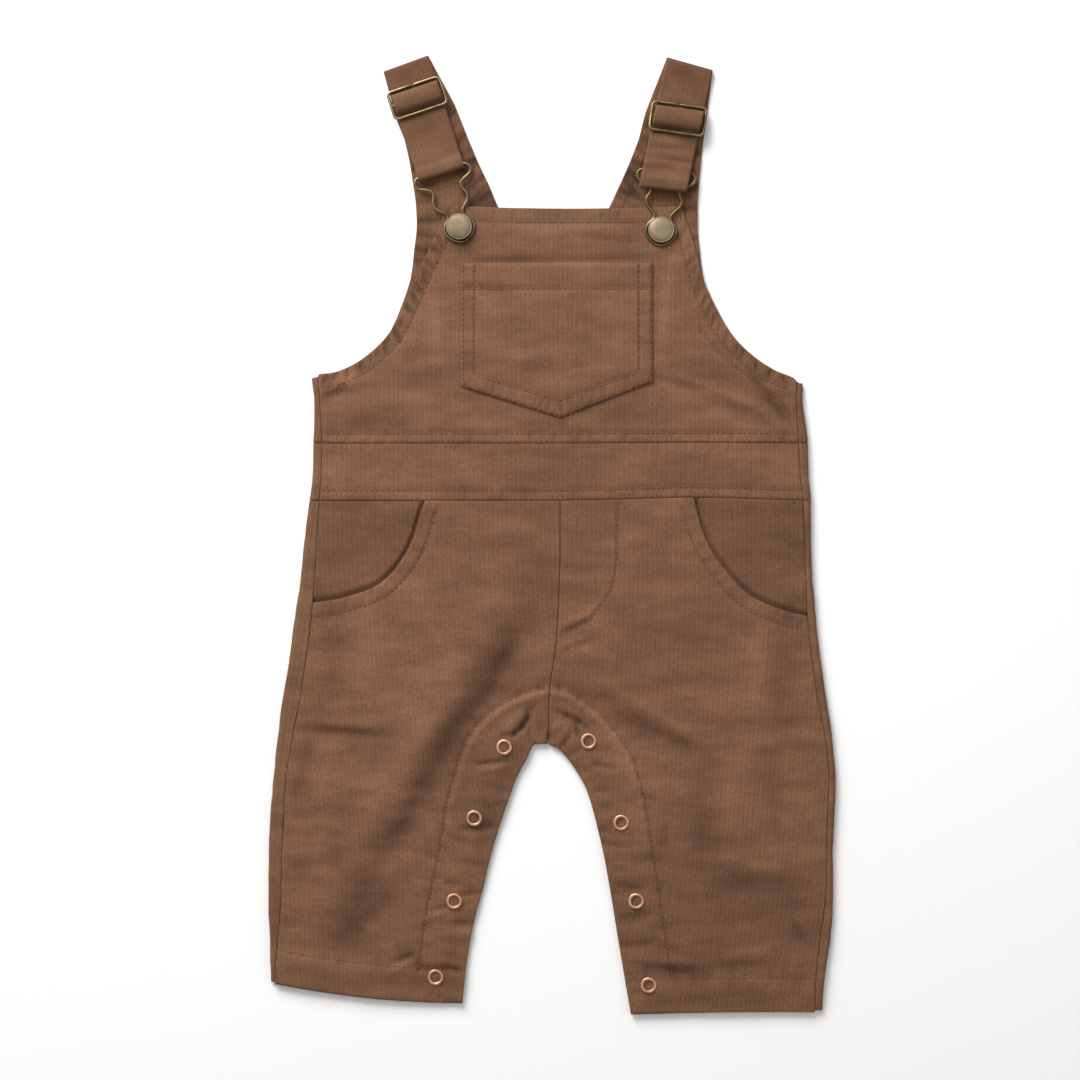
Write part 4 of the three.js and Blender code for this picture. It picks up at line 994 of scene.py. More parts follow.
armholes = {
    side: curve(BIB[f"{side}_x"], BIB[f"{side}_y"], ARMHOLE_ROW, len(BIB["left_x"]) - 1) for side in SIGN
}
bib_sides = {}
for side, sign in SIGN.items():
    line = seam_line(side, BIB_SEAM_Y + SEAM / 2, armholes[side][0, 1], 40)
    bib_sides[side] = np.concatenate([line, armholes[side][1:] - (sign * SEAM / 2, 0)])
bib_top = sagging(bib_sides["right"][-1], bib_sides["left"][-1], BIB_TOP_SAG, 60)
bib_foot = np.array([bib_sides["left"][0], bib_sides["right"][0]])
outline = joined(bib_foot, bib_sides["right"], bib_top, bib_sides["left"][::-1])
armhole_stitches = [offset(armholes[side], sign * ARMHOLE_HEM)[3:-4] for side, sign in SIGN.items()]
stitched = [
    *armhole_stitches,
    bib_top[3:-3] - (0, TOP_HEM),
    bib_foot + ((3, BIB_STITCH), (-3, BIB_STITCH)),
    spaced(BIB_FACING, 2.0),
]
hems = [(armholes["left"], ARMHOLE_HEM), (armholes["right"], ARMHOLE_HEM), (bib_top, TOP_HEM)]
more = [
    puckers(offset(armholes["left"], -ARMHOLE_HEM / 2), 51, spacing=5.2, length=9, rise=-1.3, slant=52),
    puckers(offset(armholes["right"], ARMHOLE_HEM / 2), 52, spacing=5.6, length=9, rise=-1.0, slant=128),
    puckers(bib_top - (0, TOP_HEM / 2), 53, spacing=9, length=7, rise=-0.3, slant=80),
    puckers(bib_foot + (0, 3), 54, spacing=10, length=8, rise=-0.35, slant=85),
    # the bib dips along the pocket's mouth, and painted shade darkens its colour there
    table("x y heading length width rise", (4.0, 148.4, 1, 92, 3.4, -1.1)),
]
bib_faces = front_faces(stitched, hems, more)
bib_cloth = shell("bib_cloth", outline, bib_faces, front_cord)
laid(bib_cloth, "front_bib")
front_stitches["front_bib"] = (stitched, bib_faces[0])


# Waistband
# A straight band of the same corduroy between the legs and the bib, topstitched above its lower seam.
BAND_STITCH = 5.6
BAND_ENDS = (WAIST_Y + SEAM / 2, BIB_SEAM_Y - SEAM / 2)


def band_between(edges):
    """The outline of a straight band between the edges of both sides, and its lower and upper line."""
    foot, top = (np.array([edges["left"][end], edges["right"][end]]) for end in (0, -1))
    return joined(foot, edges["right"], top[::-1], edges["left"][::-1]), foot, top


outline, foot, top = band_between({side: seam_line(side, *BAND_ENDS, 40) for side in SIGN})
stitched = [foot + ((2, BAND_STITCH), (-2, BAND_STITCH))]
more = [
    puckers(foot + (0, 3), 61, spacing=9, length=7, rise=-0.25, slant=88),
    puckers(top - (0, 3), 62, spacing=10, length=7, rise=-0.2, slant=88),
]
band_faces = front_faces(stitched, (), more)
band_cloth = shell("waistband_cloth", outline, band_faces, front_cord)
laid(band_cloth, "front_waistband")
front_stitches["front_waistband"] = (stitched, band_faces[0])


# Bib pocket
# A patch of corduroy with a pointed foot, hemmed at its mouth and topstitched to the bib on the other
# sides. The mouth gapes a little.
POCKET = {"left": -49.1, "right": 54.5, "top": 146.6, "left_foot": 79.7, "right_foot": 82.4}
POCKET_POINT = (4.3, 62.9)
POCKET_STITCHES = (1.1, 7.4)
POCKET_STITCH_TOP = 1.2
# How much the foot's left corner, its point and its right corner rise with an inset
POCKET_RISES = (0.8, 1.25, 0.7)
POCKET_HEM = 14.0
POCKET_GAPE = 1.2
POCKET_GAPE_REACH = 9
POCKET_TURN = 2.0
POCKET_EDGE = 2.2
POCKET_THINNING = 0.7


def inside_pocket(inset):
    """The pocket's sides and foot, moved in from its edge."""
    left, right, top = POCKET["left"] + inset, POCKET["right"] - inset, POCKET["top"] - POCKET_STITCH_TOP
    left_rise, point_rise, right_rise = (inset * share for share in POCKET_RISES)
    return np.array([
        (left, top),
        (left, POCKET["left_foot"] + left_rise),
        (POCKET_POINT[0], POCKET_POINT[1] + point_rise),
        (right, POCKET["right_foot"] + right_rise),
        (right, top),
    ])


corners = inside_pocket(0.0)
corners[[0, -1], 1] += POCKET_STITCH_TOP
outline = joined(*zip(corners, np.roll(corners, -1, axis=0)))
hem_y = POCKET["top"] - POCKET_HEM
mouth_hem = np.array([(POCKET["left"] + 1, hem_y), (POCKET["right"] - 1, hem_y)])
stitched = [*(spaced(inside_pocket(inset), 3.0) for inset in POCKET_STITCHES), mouth_hem]
between = spaced(inside_pocket(sum(POCKET_STITCHES) / 2), 2.0)
more = [
    puckers(between, 71, spacing=4.6, length=7, width=2.8, rise=-0.4, slant=88),
    puckers(mouth_hem, 72, spacing=12, length=8, rise=-0.25, slant=85),
]
pocket_faces = front_faces(stitched, [(corners, POCKET_TURN)], more)


def over_bib(face, thinning):
    """The same face, carried by the bib under it, gaping at the mouth and pressed thin at its edge."""
    def lifted(x, y, away):
        points = face(x, y, away)
        across = (2 * (x - POCKET["left"])) / (POCKET["right"] - POCKET["left"]) - 1
        near_mouth = np.exp(-(((POCKET["top"] - y) / POCKET_GAPE_REACH) ** 2))
        gape = POCKET_GAPE * near_mouth * np.maximum(1 - across**2, 0)
        points[:, 2] += WALL + SEAM_GAP + gape - thinning * (1 - smooth(away, 0, POCKET_EDGE))
        return points
    return lifted


outer, inner = over_bib(pocket_faces[0], POCKET_THINNING), over_bib(pocket_faces[1], 0.0)
pocket_cloth = shell("bib_pocket_cloth", outline, (outer, inner, pocket_faces[2]), front_cord)
laid(pocket_cloth, "bib_pocket")
front_stitches["bib_pocket"] = (stitched, outer)


# Hip pockets
# The inner half of each hip pocket shows in the scoop: the same corduroy, sewn into the waist and side
# seams, that runs on under the leg panel.
HIP_TUCK = 8.0
HIP_TOP_CLEAR = 0.6
HIP_FOOT_CLEAR = 2
HIP_DIP = (0.8, 2.8)  # how far from the mouth the cloth starts to come up, and is up
HIP_TONE = 0.8
# painted shade along the pocket's mouth, on each side
HIP_SHADE = {"left": 0.06, "right": 0.2}
HIP_SHADE_REACH = 2.0

for side, sign in SIGN.items():
    mouth = MOUTHS[side]
    mouth_line = curve(mouth["x"], mouth["y"], 0, MOUTH_ROW - 1)
    tucked = offset(mouth_line, -HIP_TUCK * sign)
    tucked = tucked[tucked[:, 1] < WAIST_Y - HIP_TOP_CLEAR]
    tucked = np.concatenate([[(mouth["x"][0] - sign * HIP_TUCK, WAIST_Y - SEAM / 2)], tucked])
    foot_y = mouth["y"][MOUTH_ROW - 1] - HIP_TUCK - HIP_FOOT_CLEAR
    side_line = seam_line(side, foot_y, WAIST_Y - SEAM / 2, 60)
    outline = joined(tucked, [tucked[-1], side_line[0]], side_line, [side_line[-1], tucked[0]])
    full_mouth = curve(mouth["x"], mouth["y"], 0, MOUTH_ROW)
    hip_faces = front_faces(lean=side)

    def dipped(face, sign=sign, full_mouth=full_mouth):
        """The same face, lower towards the pocket mouth, where it runs under the leg panel."""
        def lowered(x, y, away):
            points = face(x, y, away)
            mouth_x = np.interp(-y, -full_mouth[:, 1], full_mouth[:, 0])
            in_scoop = (y > full_mouth[-1, 1]) & (sign * x > sign * mouth_x)
            at_seam = 1 - smooth(WAIST_Y - y, 0, HIP_DIP[1])
            level = np.maximum(smooth(distance([full_mouth], x, y), *HIP_DIP), at_seam) * in_scoop
            points[:, 2] -= (1 - level) * (WALL + 1.5 * SEAM_GAP)
            return points
        return lowered

    def hip_tone_and_shade(x, y, pile_tone_and_shade=hip_faces[2], side=side, full_mouth=full_mouth):
        """The pile's tone, darker all over, with painted shade in its creases and deep in the pocket's
        mouth.
        """
        depth = np.exp(-((distance([full_mouth], x, y) / HIP_SHADE_REACH) ** 2))
        return pile_tone_and_shade(x, y) * HIP_TONE * (1 - HIP_SHADE[side] * depth)

    outer, inner = (dipped(face) for face in hip_faces[:2])
    hip_cloth = shell(f"hip_pocket_cloth_{side}", outline, (outer, inner, hip_tone_and_shade), front_cord, side)
    laid(hip_cloth, f"hip_pocket_{side}")


# Back
# Back legs, back waistband and back bodice lie on the surface. Each wraps round the sides of the
# garment and comes onto the front, where it meets the front at the side seam.
BACK_INSET = 0.8
# Slow rise and fall of the cloth on the turn, in the same columns as the front's
TURN_UNEVENNESS = ((30, 12, 0.14, 13), (9, 5, 0.16, 14))


def turn_of(side, y):
    """Where the turn round the side begins, its radius, and how far the cloth runs from there."""
    sign = SIGN[side]
    seam = side_at(side, "seam", y) + sign * SEAM / 2
    radius = front_over(seam, np.asarray(y, dtype=float)) / 2
    centre = side_at(side, "edge", y) - sign * radius
    return centre, radius, math.pi * radius + sign * (centre - seam)


def strip_edge(side, heights):
    """Flat line of a back panel's edge at the side seam."""
    centre, _, run = turn_of(side, heights)
    return np.stack([centre + SIGN[side] * run, heights], axis=1)


def wrapped(x, y, depth):
    """Place on a back panel: flat on the surface, then round the side and in over the front."""
    side_points = {}
    for side, sign in SIGN.items():
        centre, radius, _ = turn_of(side, y)
        beyond = sign * (x - centre)
        turn = np.clip(beyond / radius, 0, math.pi)
        after = np.maximum(beyond - math.pi * radius, 0)
        flat_x = np.where(beyond < 0, x, centre - sign * after)
        side_points[side] = np.stack([
            flat_x + sign * (radius - depth) * np.sin(turn),
            eased(x, y) * (beyond > 0) + y * (beyond <= 0),
            radius - (radius - depth) * np.cos(turn),
        ], axis=1)
    return np.where((x < 0)[:, None], side_points["left"], side_points["right"])


def turned_share(x, y):
    """How far round the turn a place is, from 0 on the flat to 1."""
    share = np.zeros(len(x))
    for side, sign in SIGN.items():
        centre, radius, _ = turn_of(side, y)
        share = np.maximum(share, smooth(sign * (x - centre) / radius, 0.2, 1.2) * (sign * x > 0))
    return share


def back_faces(lean="none"):
    """Outer and inner face of a back panel, plain where it lies on the surface, and its nap."""
    run = lean_of(lean)

    def outer(x, y, away):
        share = turned_share(x, y)
        wales = CREST * (1 - ribs(x - run(y))) * share
        slow = sum(rise * uneven(x, y, wide, high, seed) for wide, high, rise, seed in TURN_UNEVENNESS)
        return wrapped(x, y, wales + falling(away) * share + share * slow)

    def inner(x, y, away):
        return wrapped(x, y, np.full(len(x), WALL))

    return outer, inner, drifting


def on_turn(x, y):
    """Whether a place is on the turn, where the wales are modelled."""
    return turned_share(x, y) > 0.001


def back_panel(piece_name, node_name, outline, lean="none"):
    """A back panel that lies on the surface."""
    panel = shell(piece_name, outline, back_faces(lean), front_cord, lean, outer_fine=on_turn)
    laid(panel, node_name)


for side, sign in SIGN.items():
    leg = LEGS[side]
    hem_row = len(leg["side_y"]) - 1
    inside = curve(leg["inside_x"], leg["inside_y"], 0, hem_row)
    below = smooth(np.linspace(0, hem_row, len(inside)), CROTCH_ROW - 0.5, CROTCH_ROW + 1)
    inside[:, 0] += sign * (BACK_INSET * below - SEAM * (1 - below))
    inside[0, 1] = WAIST_Y - SEAM / 2
    hem_y = leg["side_y"][-1] + 1
    inside_end = inside[-1] + (0, 1)
    inside = np.concatenate([inside[inside[:, 1] > inside_end[1] + 0.3], [inside_end]])
    strip = strip_edge(side, np.linspace(hem_y, WAIST_Y - SEAM / 2, 240))
    flat_end = np.array([float(turn_of(side, hem_y)[0]), hem_y])
    hem = sagging(inside[-1], flat_end, HEM_SAG[side], 50)
    outline = joined(inside, hem, [flat_end, strip[0]], strip, [strip[-1], inside[0]])
    back_panel(f"back_leg_cloth_{side}", f"back_leg_{side}", outline, f"back_{side}")

outline, _, _ = band_between({side: strip_edge(side, np.linspace(*BAND_ENDS, 40)) for side in SIGN})
back_panel("back_waistband_cloth", "back_waistband", outline)

# Shoulder extensions from the strap seam down: outer edge and inner edge
SHOULDERS = {
    "left": table(
        "y outer inner",
        (214.1, -79.9, -45.4),
        (201.2, -77.0, -39.9),
        (188.2, -75.0, -33.8),
        (177.9, -73.6, -29.5),
        (167.1, -73.2, -24.6),
        (153.6, -74.6, -17.6),
        (137.4, -76.8, -8.6),
        (117.0, -84.0, -3.0),
    ),
    "right": table(
        "y outer inner",
        (214.1, 82.1, 47.0),
        (201.2, 80.5, 42.0),
        (188.2, 79.4, 36.2),
        (177.9, 78.8, 31.4),
        (167.1, 78.8, 25.9),
        (153.6, 79.9, 18.6),
        (137.4, 82.4, 9.4),
        (117.0, 92.0, 4.0),
    ),
}
NECK_LOW = (0.4, 122.0)
TURN_TOP = {"left": 84.8, "right": 81.8}
BODICE_TONE = 0.9
BODICE_ROUNDING = 0.6
BODICE_HEM = 6.0
BODICE_RISE = 0.35
BODICE_RELIEF = (-0.8, 0.9)  # the deepest and the highest relief
BODICE_SHOWS = (112, 125)  # where the bodice begins to show its ripples, and shows them whole
# Middle, heading and width of the seam between shoulder and strap
SHOULDER_SEAM = {"left": (-68.2, 228.4, 12.0, 32.6), "right": (66.8, 224.9, -10.0, 33.4)}


def seam_ends(side):
    """Outer and inner end of the seam between shoulder and strap."""
    x, y, heading, width = SHOULDER_SEAM[side]
    tilt = math.radians(heading)
    reach = np.array([math.cos(tilt), math.sin(tilt)]) * width / 2
    middle = np.array([x, y - SEAM_GAP])
    return middle + SIGN[side] * reach, middle - SIGN[side] * reach


halves = {}
for side, sign in SIGN.items():
    strip = strip_edge(side, np.linspace(BIB_SEAM_Y + SEAM / 2, TURN_TOP[side], 40))
    flat_end = (float(turn_of(side, TURN_TOP[side])[0]), TURN_TOP[side])
    armhole = curve(BIB[f"{side}_x"], BIB[f"{side}_y"], ARMHOLE_ROW + 0.5, 6.2) - (sign * BACK_INSET, 0)
    outer_end, inner_end = seam_ends(side)
    rows = SHOULDERS[side]
    outer_edge = curve(rows["outer"], rows["y"], 7, 0)
    inner_edge = curve(rows["inner"], rows["y"], 0, 6)
    halves[side] = {
        "side": strip,
        "turn": np.array([strip[-1], flat_end]),
        "armhole": np.concatenate([[flat_end], armhole, outer_edge, [outer_end]]),
        "seam": np.array([outer_end, inner_end]),
        "neck": np.concatenate([[inner_end], inner_edge, [NECK_LOW]]),
    }
bottom = [halves["left"]["side"][0], halves["right"]["side"][0]]
down_left = [line[::-1] for line in reversed(halves["left"].values())]
outline = joined(bottom, *halves["right"].values(), *down_left)
bodice_hems = [(halves[side][edge], BODICE_HEM) for edge in ("neck", "armhole") for side in SIGN]
ripples = []
for number, (side, sign) in enumerate(SIGN.items()):
    ripples += [
        puckers(
            offset(halves[side]["neck"][:-8], sign * 5.5), 81 + number,
            spacing=5.8, length=22, width=3.8, rise=-1.0, slant=90 - sign * 8,
        ),
        puckers(
            offset(halves[side]["armhole"][50:], sign * 5), 83 + number,
            spacing=8, length=14, width=4, rise=-0.7, slant=90 + sign * 10,
        ),
    ]


def bodice_inner(x, y, away):
    """The upper face of the back: smooth under the front, rippled at the shoulders, where it shows."""
    points = wrapped(x, y, np.full(len(x), WALL))
    relief = CREST * (ribs(x) - 1) + BODICE_RISE + sewn(x, y, [], bodice_hems)
    for rows in ripples:
        relief += raised(rows, x, y)
    fall = falling(away, BODICE_ROUNDING)
    points[:, 2] += smooth(y, *BODICE_SHOWS) * (np.clip(relief, *BODICE_RELIEF) - fall)
    return points


def bodice_tone_and_shade(x, y):
    """The pile's tone, with painted shade in the ripples, and a little darker than the front's all over."""
    hollows = sum(raised(rows, x, y) for rows in ripples) * smooth(y, *BODICE_SHOWS)
    return np.clip(BODICE_TONE * drifting(x, y) + 2 * PAINTED_CREASE_SHADING * hollows, 0.4, 1.3)


bodice = shell(
    "back_bodice_cloth", outline, (back_faces()[0], bodice_inner, bodice_tone_and_shade), front_cord,
    outer_fine=on_turn, inner_fine=lambda x, y: y > BODICE_SHOWS[0],
)
laid(bodice, "back_bodice")


# Straps
# Two layers of corduroy turned and pressed flat. Each strap is folded over at the shoulder, runs
# through its slider, round the bar of its hook and back under itself to the slider's middle bar.
STRAP_WALL = 1.4
STRAP_WIDTH = 26.0
STRAP_ROUNDING = 0.9
STRAP_STEP = 0.8
# Slow rise and fall of the straps, in the same columns as the front's
STRAP_UNEVENNESS = ((7, 11, 0.1, 91), (3, 5, 0.08, 96))
FOLD_SHARE = 0.985  # how far the back part runs to the fold, where the front part takes over
WIRE = 1.6
SLIDER_HALF_WIDTH = 14.6
SLIDER_HALF_LENGTH = 7.7
CLEAR = WIRE / 2 + SEAM_GAP + STRAP_WALL / 2
LAYER = STRAP_WALL + SEAM_GAP
BACK_Z = STRAP_WALL / 2
RETURN_Z = BACK_Z + LAYER
HOOK_Z = RETURN_Z + CLEAR
SLIDER_TOP_Z = RETURN_Z + CLEAR
SLIDER_FOOT_Z = RETURN_Z + LAYER + CLEAR
SLIDER_BAR_Z = (SLIDER_TOP_Z + SLIDER_FOOT_Z) / 2
# Place and heading of each strap's fold and of its lower end, station and heading of its slider, and
# whether the end hangs on past the hook's bar
STRAPS = {
    "left": {
        "fold": (-78.6, 253.5, 20.0),
        "end": (-59.6, 194.6, 18.0),
        "slider": (18.9, 18.5),
        "draped": False,
    },
    "right": {
        "fold": (74.3, 253.35, -15.7),
        "end": (59.6, 186.0, -5.5),
        "slider": (29.6, -8.0),
        "draped": True,
    },
}
BUTTONS = {"left": (-50.2, 166.1, 18.0), "right": (58.9, 164.4, -5.5)}
HOOK_BAR_ALONG = 31.9
STRAP_TONES = ((2400.0, 1800.0, 3.0, 0.14), (800.0, 700.0, 3.0, 0.13), (60.0, 80.0, 3.0, 0.12))
strap_cord = corduroy("strap_corduroy", (0.138, 0.0675, 0.037), (0.129, 0.063, 0.035), 0.2, STRAP_TONES)
# Ripples of the front parts: reach across, station from the fold, heading, length, width and rise
STRAP_RIPPLES = {
    "left": table(
        "x y heading length width rise",
        (-3, 37, 5, 20, 6, -0.3),
        (4, 45, -8, 18, 7, -0.4),
        (-2, 52, 4, 20, 6, -0.3),
    ),
    "right": table(
        "x y heading length width rise",
        (-5, 44.5, -14, 18, 4.4, -1.2),
        (6, 48.0, 10, 18, 4.2, -1.2),
        (-3, 53.0, -6, 24, 4.4, -1.3),
        (4, 59.0, 8, 20, 4.4, -1.2),
        (-4, 64.5, -4, 20, 4.4, -0.9),
        (0, 50.2, 3, 22, 3.4, 0.6),
        (1, 56.2, 3, 22, 3.4, 0.6),
        (-2, 8.0, 6, 20, 5, -0.7),
    ),
}


def strap_length(side):
    """Length of the part that shows, from the fold down to its end."""
    (fold_x, fold_y, _), (end_x, end_y, _) = STRAPS[side]["fold"], STRAPS[side]["end"]
    return math.hypot(end_x - fold_x, end_y - fold_y)


def hook_station(side):
    """How far down the front part the strap goes round the hook's bar."""
    (fold_x, fold_y, _), (end_x, end_y, _) = STRAPS[side]["fold"], STRAPS[side]["end"]
    button_x, button_y, heading = BUTTONS[side]
    bar_x = button_x - HOOK_BAR_ALONG * math.sin(math.radians(heading))
    bar_y = button_y + HOOK_BAR_ALONG * math.cos(math.radians(heading))
    return ((bar_x - fold_x) * (end_x - fold_x) + (bar_y - fold_y) * (end_y - fold_y)) / strap_length(side)


def strap_at(side, station):
    """Middle and heading of the front part at a station."""
    shape = STRAPS[side]
    length = strap_length(side)
    (fold_x, fold_y, fold_heading), (end_x, end_y, end_heading) = shape["fold"], shape["end"]
    slider, slider_heading = shape["slider"]
    above, below = slider - 1.2 * SLIDER_HALF_LENGTH, slider + 1.2 * SLIDER_HALF_LENGTH
    heading = np.interp(station, [-2, 0, above, below, length], [
        fold_heading, fold_heading, slider_heading, slider_heading, end_heading,
    ])
    t = station / length
    return fold_x + (end_x - fold_x) * t, fold_y + (end_y - fold_y) * t, heading


def strap_profile(side):
    """Side view of a strap: station from the fold, and height of the layer's middle."""
    bar = STRAPS[side]["slider"][0]
    foot = bar + SLIDER_HALF_LENGTH
    hook, length = hook_station(side), strap_length(side)
    over = SLIDER_BAR_Z + CLEAR + LAYER
    lifted = HOOK_Z + CLEAR + 0.1
    front = [
        (-0.95, (BACK_Z + RETURN_Z) / 2), (0, RETURN_Z), (bar - 9.5, RETURN_Z), (bar - 6.6, RETURN_Z + 0.1),
        (bar - 5.4, RETURN_Z + 1.3), (bar - 4.0, over - 0.9), (bar - 2.2, over - 0.15), (bar, over + 0.05),
        (bar + 2.2, over - 0.2), (bar + 4.0, over - 1.0), (bar + 5.4, RETURN_Z + LAYER + 0.9),
        (bar + 6.6, RETURN_Z + LAYER + 0.25), (foot, RETURN_Z + LAYER), (foot + 3, RETURN_Z + LAYER),
        (hook - 7, RETURN_Z + LAYER), (hook - 2.5, HOOK_Z + CLEAR - 0.1), (hook, HOOK_Z + CLEAR + 0.05),
    ]
    hung = [
        (hook + 1.4, HOOK_Z + 1.3), (hook + CLEAR, HOOK_Z), (hook + 1.4, HOOK_Z - 1.3), (hook, RETURN_Z),
    ]
    draped = [
        (hook + 2.8, lifted + 0.6), (hook + 5.4, lifted + LAYER), (hook + 7.6, lifted + LAYER),
        (length - 1.2, lifted + LAYER), (length - 0.2, lifted + LAYER / 2), (length - 1.2, lifted),
        (hook + 6.6, lifted), (hook + 5.4, lifted - 0.4), (hook + 1.7, HOOK_Z - 0.8),
        (hook + 0.3, RETURN_Z),
    ]
    ring = [
        (bar + CLEAR * math.cos(math.radians(angle)), SLIDER_BAR_Z + CLEAR * math.sin(math.radians(angle)))
        for angle in np.linspace(-90, -300, 7)
    ]
    back = [(hook - 4, RETURN_Z), (foot, RETURN_Z), (bar + 3.4, RETURN_Z + 0.15), *ring]
    return np.array(front + (draped if STRAPS[side]["draped"] else hung) + back)


def rounded(points, step):
    """A smooth line through points, at even steps."""
    points = np.array(points, dtype=float)
    rows = np.linspace(0, len(points) - 1, len(points) * 12)
    return spaced(np.stack([at_row(points[:, 0], rows), at_row(points[:, 1], rows)], axis=1), step)


def ribbon(name, middles, headings, widths, drops, material):
    """A closed strip of cloth with rounded edges along a line of points, laid flat across each heading."""
    along = np.gradient(middles, axis=0)
    along /= np.linalg.norm(along, axis=1)[:, None]
    turn = np.radians(headings)
    across = np.stack([np.cos(turn), np.sin(turn), np.zeros(len(turn))], axis=1)
    normal = np.cross(across, along)
    normal /= np.linalg.norm(normal, axis=1)[:, None]
    stations = np.concatenate([[0], np.cumsum(np.linalg.norm(np.diff(middles, axis=0), axis=1))])
    columns = int(STRAP_WIDTH / COLUMN)
    ring = []
    spread = np.linspace(-1, 1, columns)
    for sign_up, places in ((1, spread), (-1, spread[::-1])):
        for place_across in places:
            reach = place_across * widths / 2
            off = np.minimum((widths / 2 - np.abs(reach)) / STRAP_ROUNDING, 1)
            half_wall = STRAP_WALL / 2 * np.sqrt(np.clip(1 - (1 - off) ** 2, 0.02, 1))
            relief = drops(stations, reach) if sign_up > 0 else 0.0
            height = sign_up * half_wall + off * relief
            ring.append((middles + across * reach[:, None] + normal * height[:, None], reach))
    rows, sides = len(middles), len(ring)
    points = np.stack([points for points, _ in ring], axis=1).reshape(-1, 3)
    reaches = np.stack([reach for _, reach in ring], axis=1).ravel()
    index = np.arange(rows * sides).reshape(rows, sides)
    here, beside = index[:-1], np.roll(index, -1, axis=1)[:-1]
    ahead, ahead_beside = index[1:], np.roll(index, -1, axis=1)[1:]
    faces = np.concatenate([
        np.stack([here.ravel(), ahead.ravel(), ahead_beside.ravel()], axis=1),
        np.stack([here.ravel(), ahead_beside.ravel(), beside.ravel()], axis=1),
    ])
    caps = []
    for row, flip in ((0, False), (rows - 1, True)):
        for column in range(columns - 1):
            upper, lower = index[row, column], index[row, sides - 1 - column]
            next_upper, next_lower = index[row, column + 1], index[row, sides - 2 - column]
            caps += [(upper, next_upper, next_lower), (upper, next_lower, lower)]
            if flip:
                caps[-2:] = [cap[::-1] for cap in caps[-2:]]
    faces = np.concatenate([faces, np.array(caps)])
    along_each = np.repeat(stations, sides)
    # the pile's tone, with painted shade in the ripples and painted light on their rises
    tone = drifting(reaches, along_each) + PAINTED_CREASE_SHADING * drops(along_each, reaches)
    pile_tone_and_shade = np.clip(tone, 0.5, 1.3)
    return cloth_object(name, points, faces, reaches + WALE / 2, along_each, pile_tone_and_shade, material)


for side in SIGN:
    seam_x, seam_y, seam_heading, seam_width = SHOULDER_SEAM[side]
    fold_x, fold_y, fold_heading = STRAPS[side]["fold"]
    share = np.linspace(0, FOLD_SHARE, 26)
    back_part = np.stack([
        seam_x + (fold_x - seam_x) * share,
        seam_y + (fold_y - seam_y) * share,
        np.full(len(share), BACK_Z),
    ], axis=1)
    back_headings = seam_heading + (fold_heading - seam_heading) * share
    back_widths = seam_width + (STRAP_WIDTH - seam_width) * share
    profile = rounded(strap_profile(side), STRAP_STEP)
    front_x, front_y, front_headings = strap_at(side, profile[:, 0])
    front_part = np.stack([front_x, front_y, profile[:, 1]], axis=1)
    front_widths = np.full(len(profile), STRAP_WIDTH)
    middles = np.concatenate([back_part, front_part])
    back_run = math.hypot(fold_x - seam_x, fold_y - seam_y)

    def strap_relief(stations, reach, rows=STRAP_RIPPLES[side], back_run=back_run):
        """Rise and fall of the strap's upper face."""
        waves = sum(
            rise * uneven(stations, reach, wide, high, seed) for wide, high, rise, seed in STRAP_UNEVENNESS
        )
        return waves + raised(rows, reach + 0 * stations, stations - back_run + 0 * reach)

    strap = ribbon(
        f"strap_cloth_{side}",
        middles,
        np.concatenate([back_headings, front_headings]),
        np.concatenate([back_widths, front_widths]),
        strap_relief,
        strap_cord,
    )
    stands_for(strap, f"strap_{side}")


# Sliders
# Bent wire frames with a middle bar. The strap passes under, over and under them. The wire's ends meet
# in the middle of the upper side and leave a fine split there.
SLIDER_CORNER = 2.4
SPLIT = 0.35
END_ROUNDING = (0.55, 0.93)  # share of a wire's radius at its end and one step in


def metal(name, bright, dull, roughness, dents, dent_size):
    """Worn metal: bright where it is rubbed, duller in patches, with slightly uneven skin."""
    material, tree, shader = principled(name, roughness, 1.0)
    place_of = node(tree, "ShaderNodeTexCoord").outputs["Object"]
    patina = noise(tree, dent_size, 4.0, Vector=place_of)
    colour = two_tone(tree, ranged(tree, patina, 0.35, 0.65), dull, bright)
    tree.links.new(colour, shader.inputs["Base Color"])
    gloss = ranged(tree, patina, 0.3, 0.7, roughness + 0.12, roughness - 0.06)
    tree.links.new(gloss, shader.inputs["Roughness"])
    bumped(tree, shader, noise(tree, dent_size * 2, 2.0, Vector=place_of), dents, 0.2 * MM)
    return material


brass = metal("antique_brass_wire", (0.27, 0.21, 0.105), (0.13, 0.095, 0.043), 0.4, 0.15, 140.0)


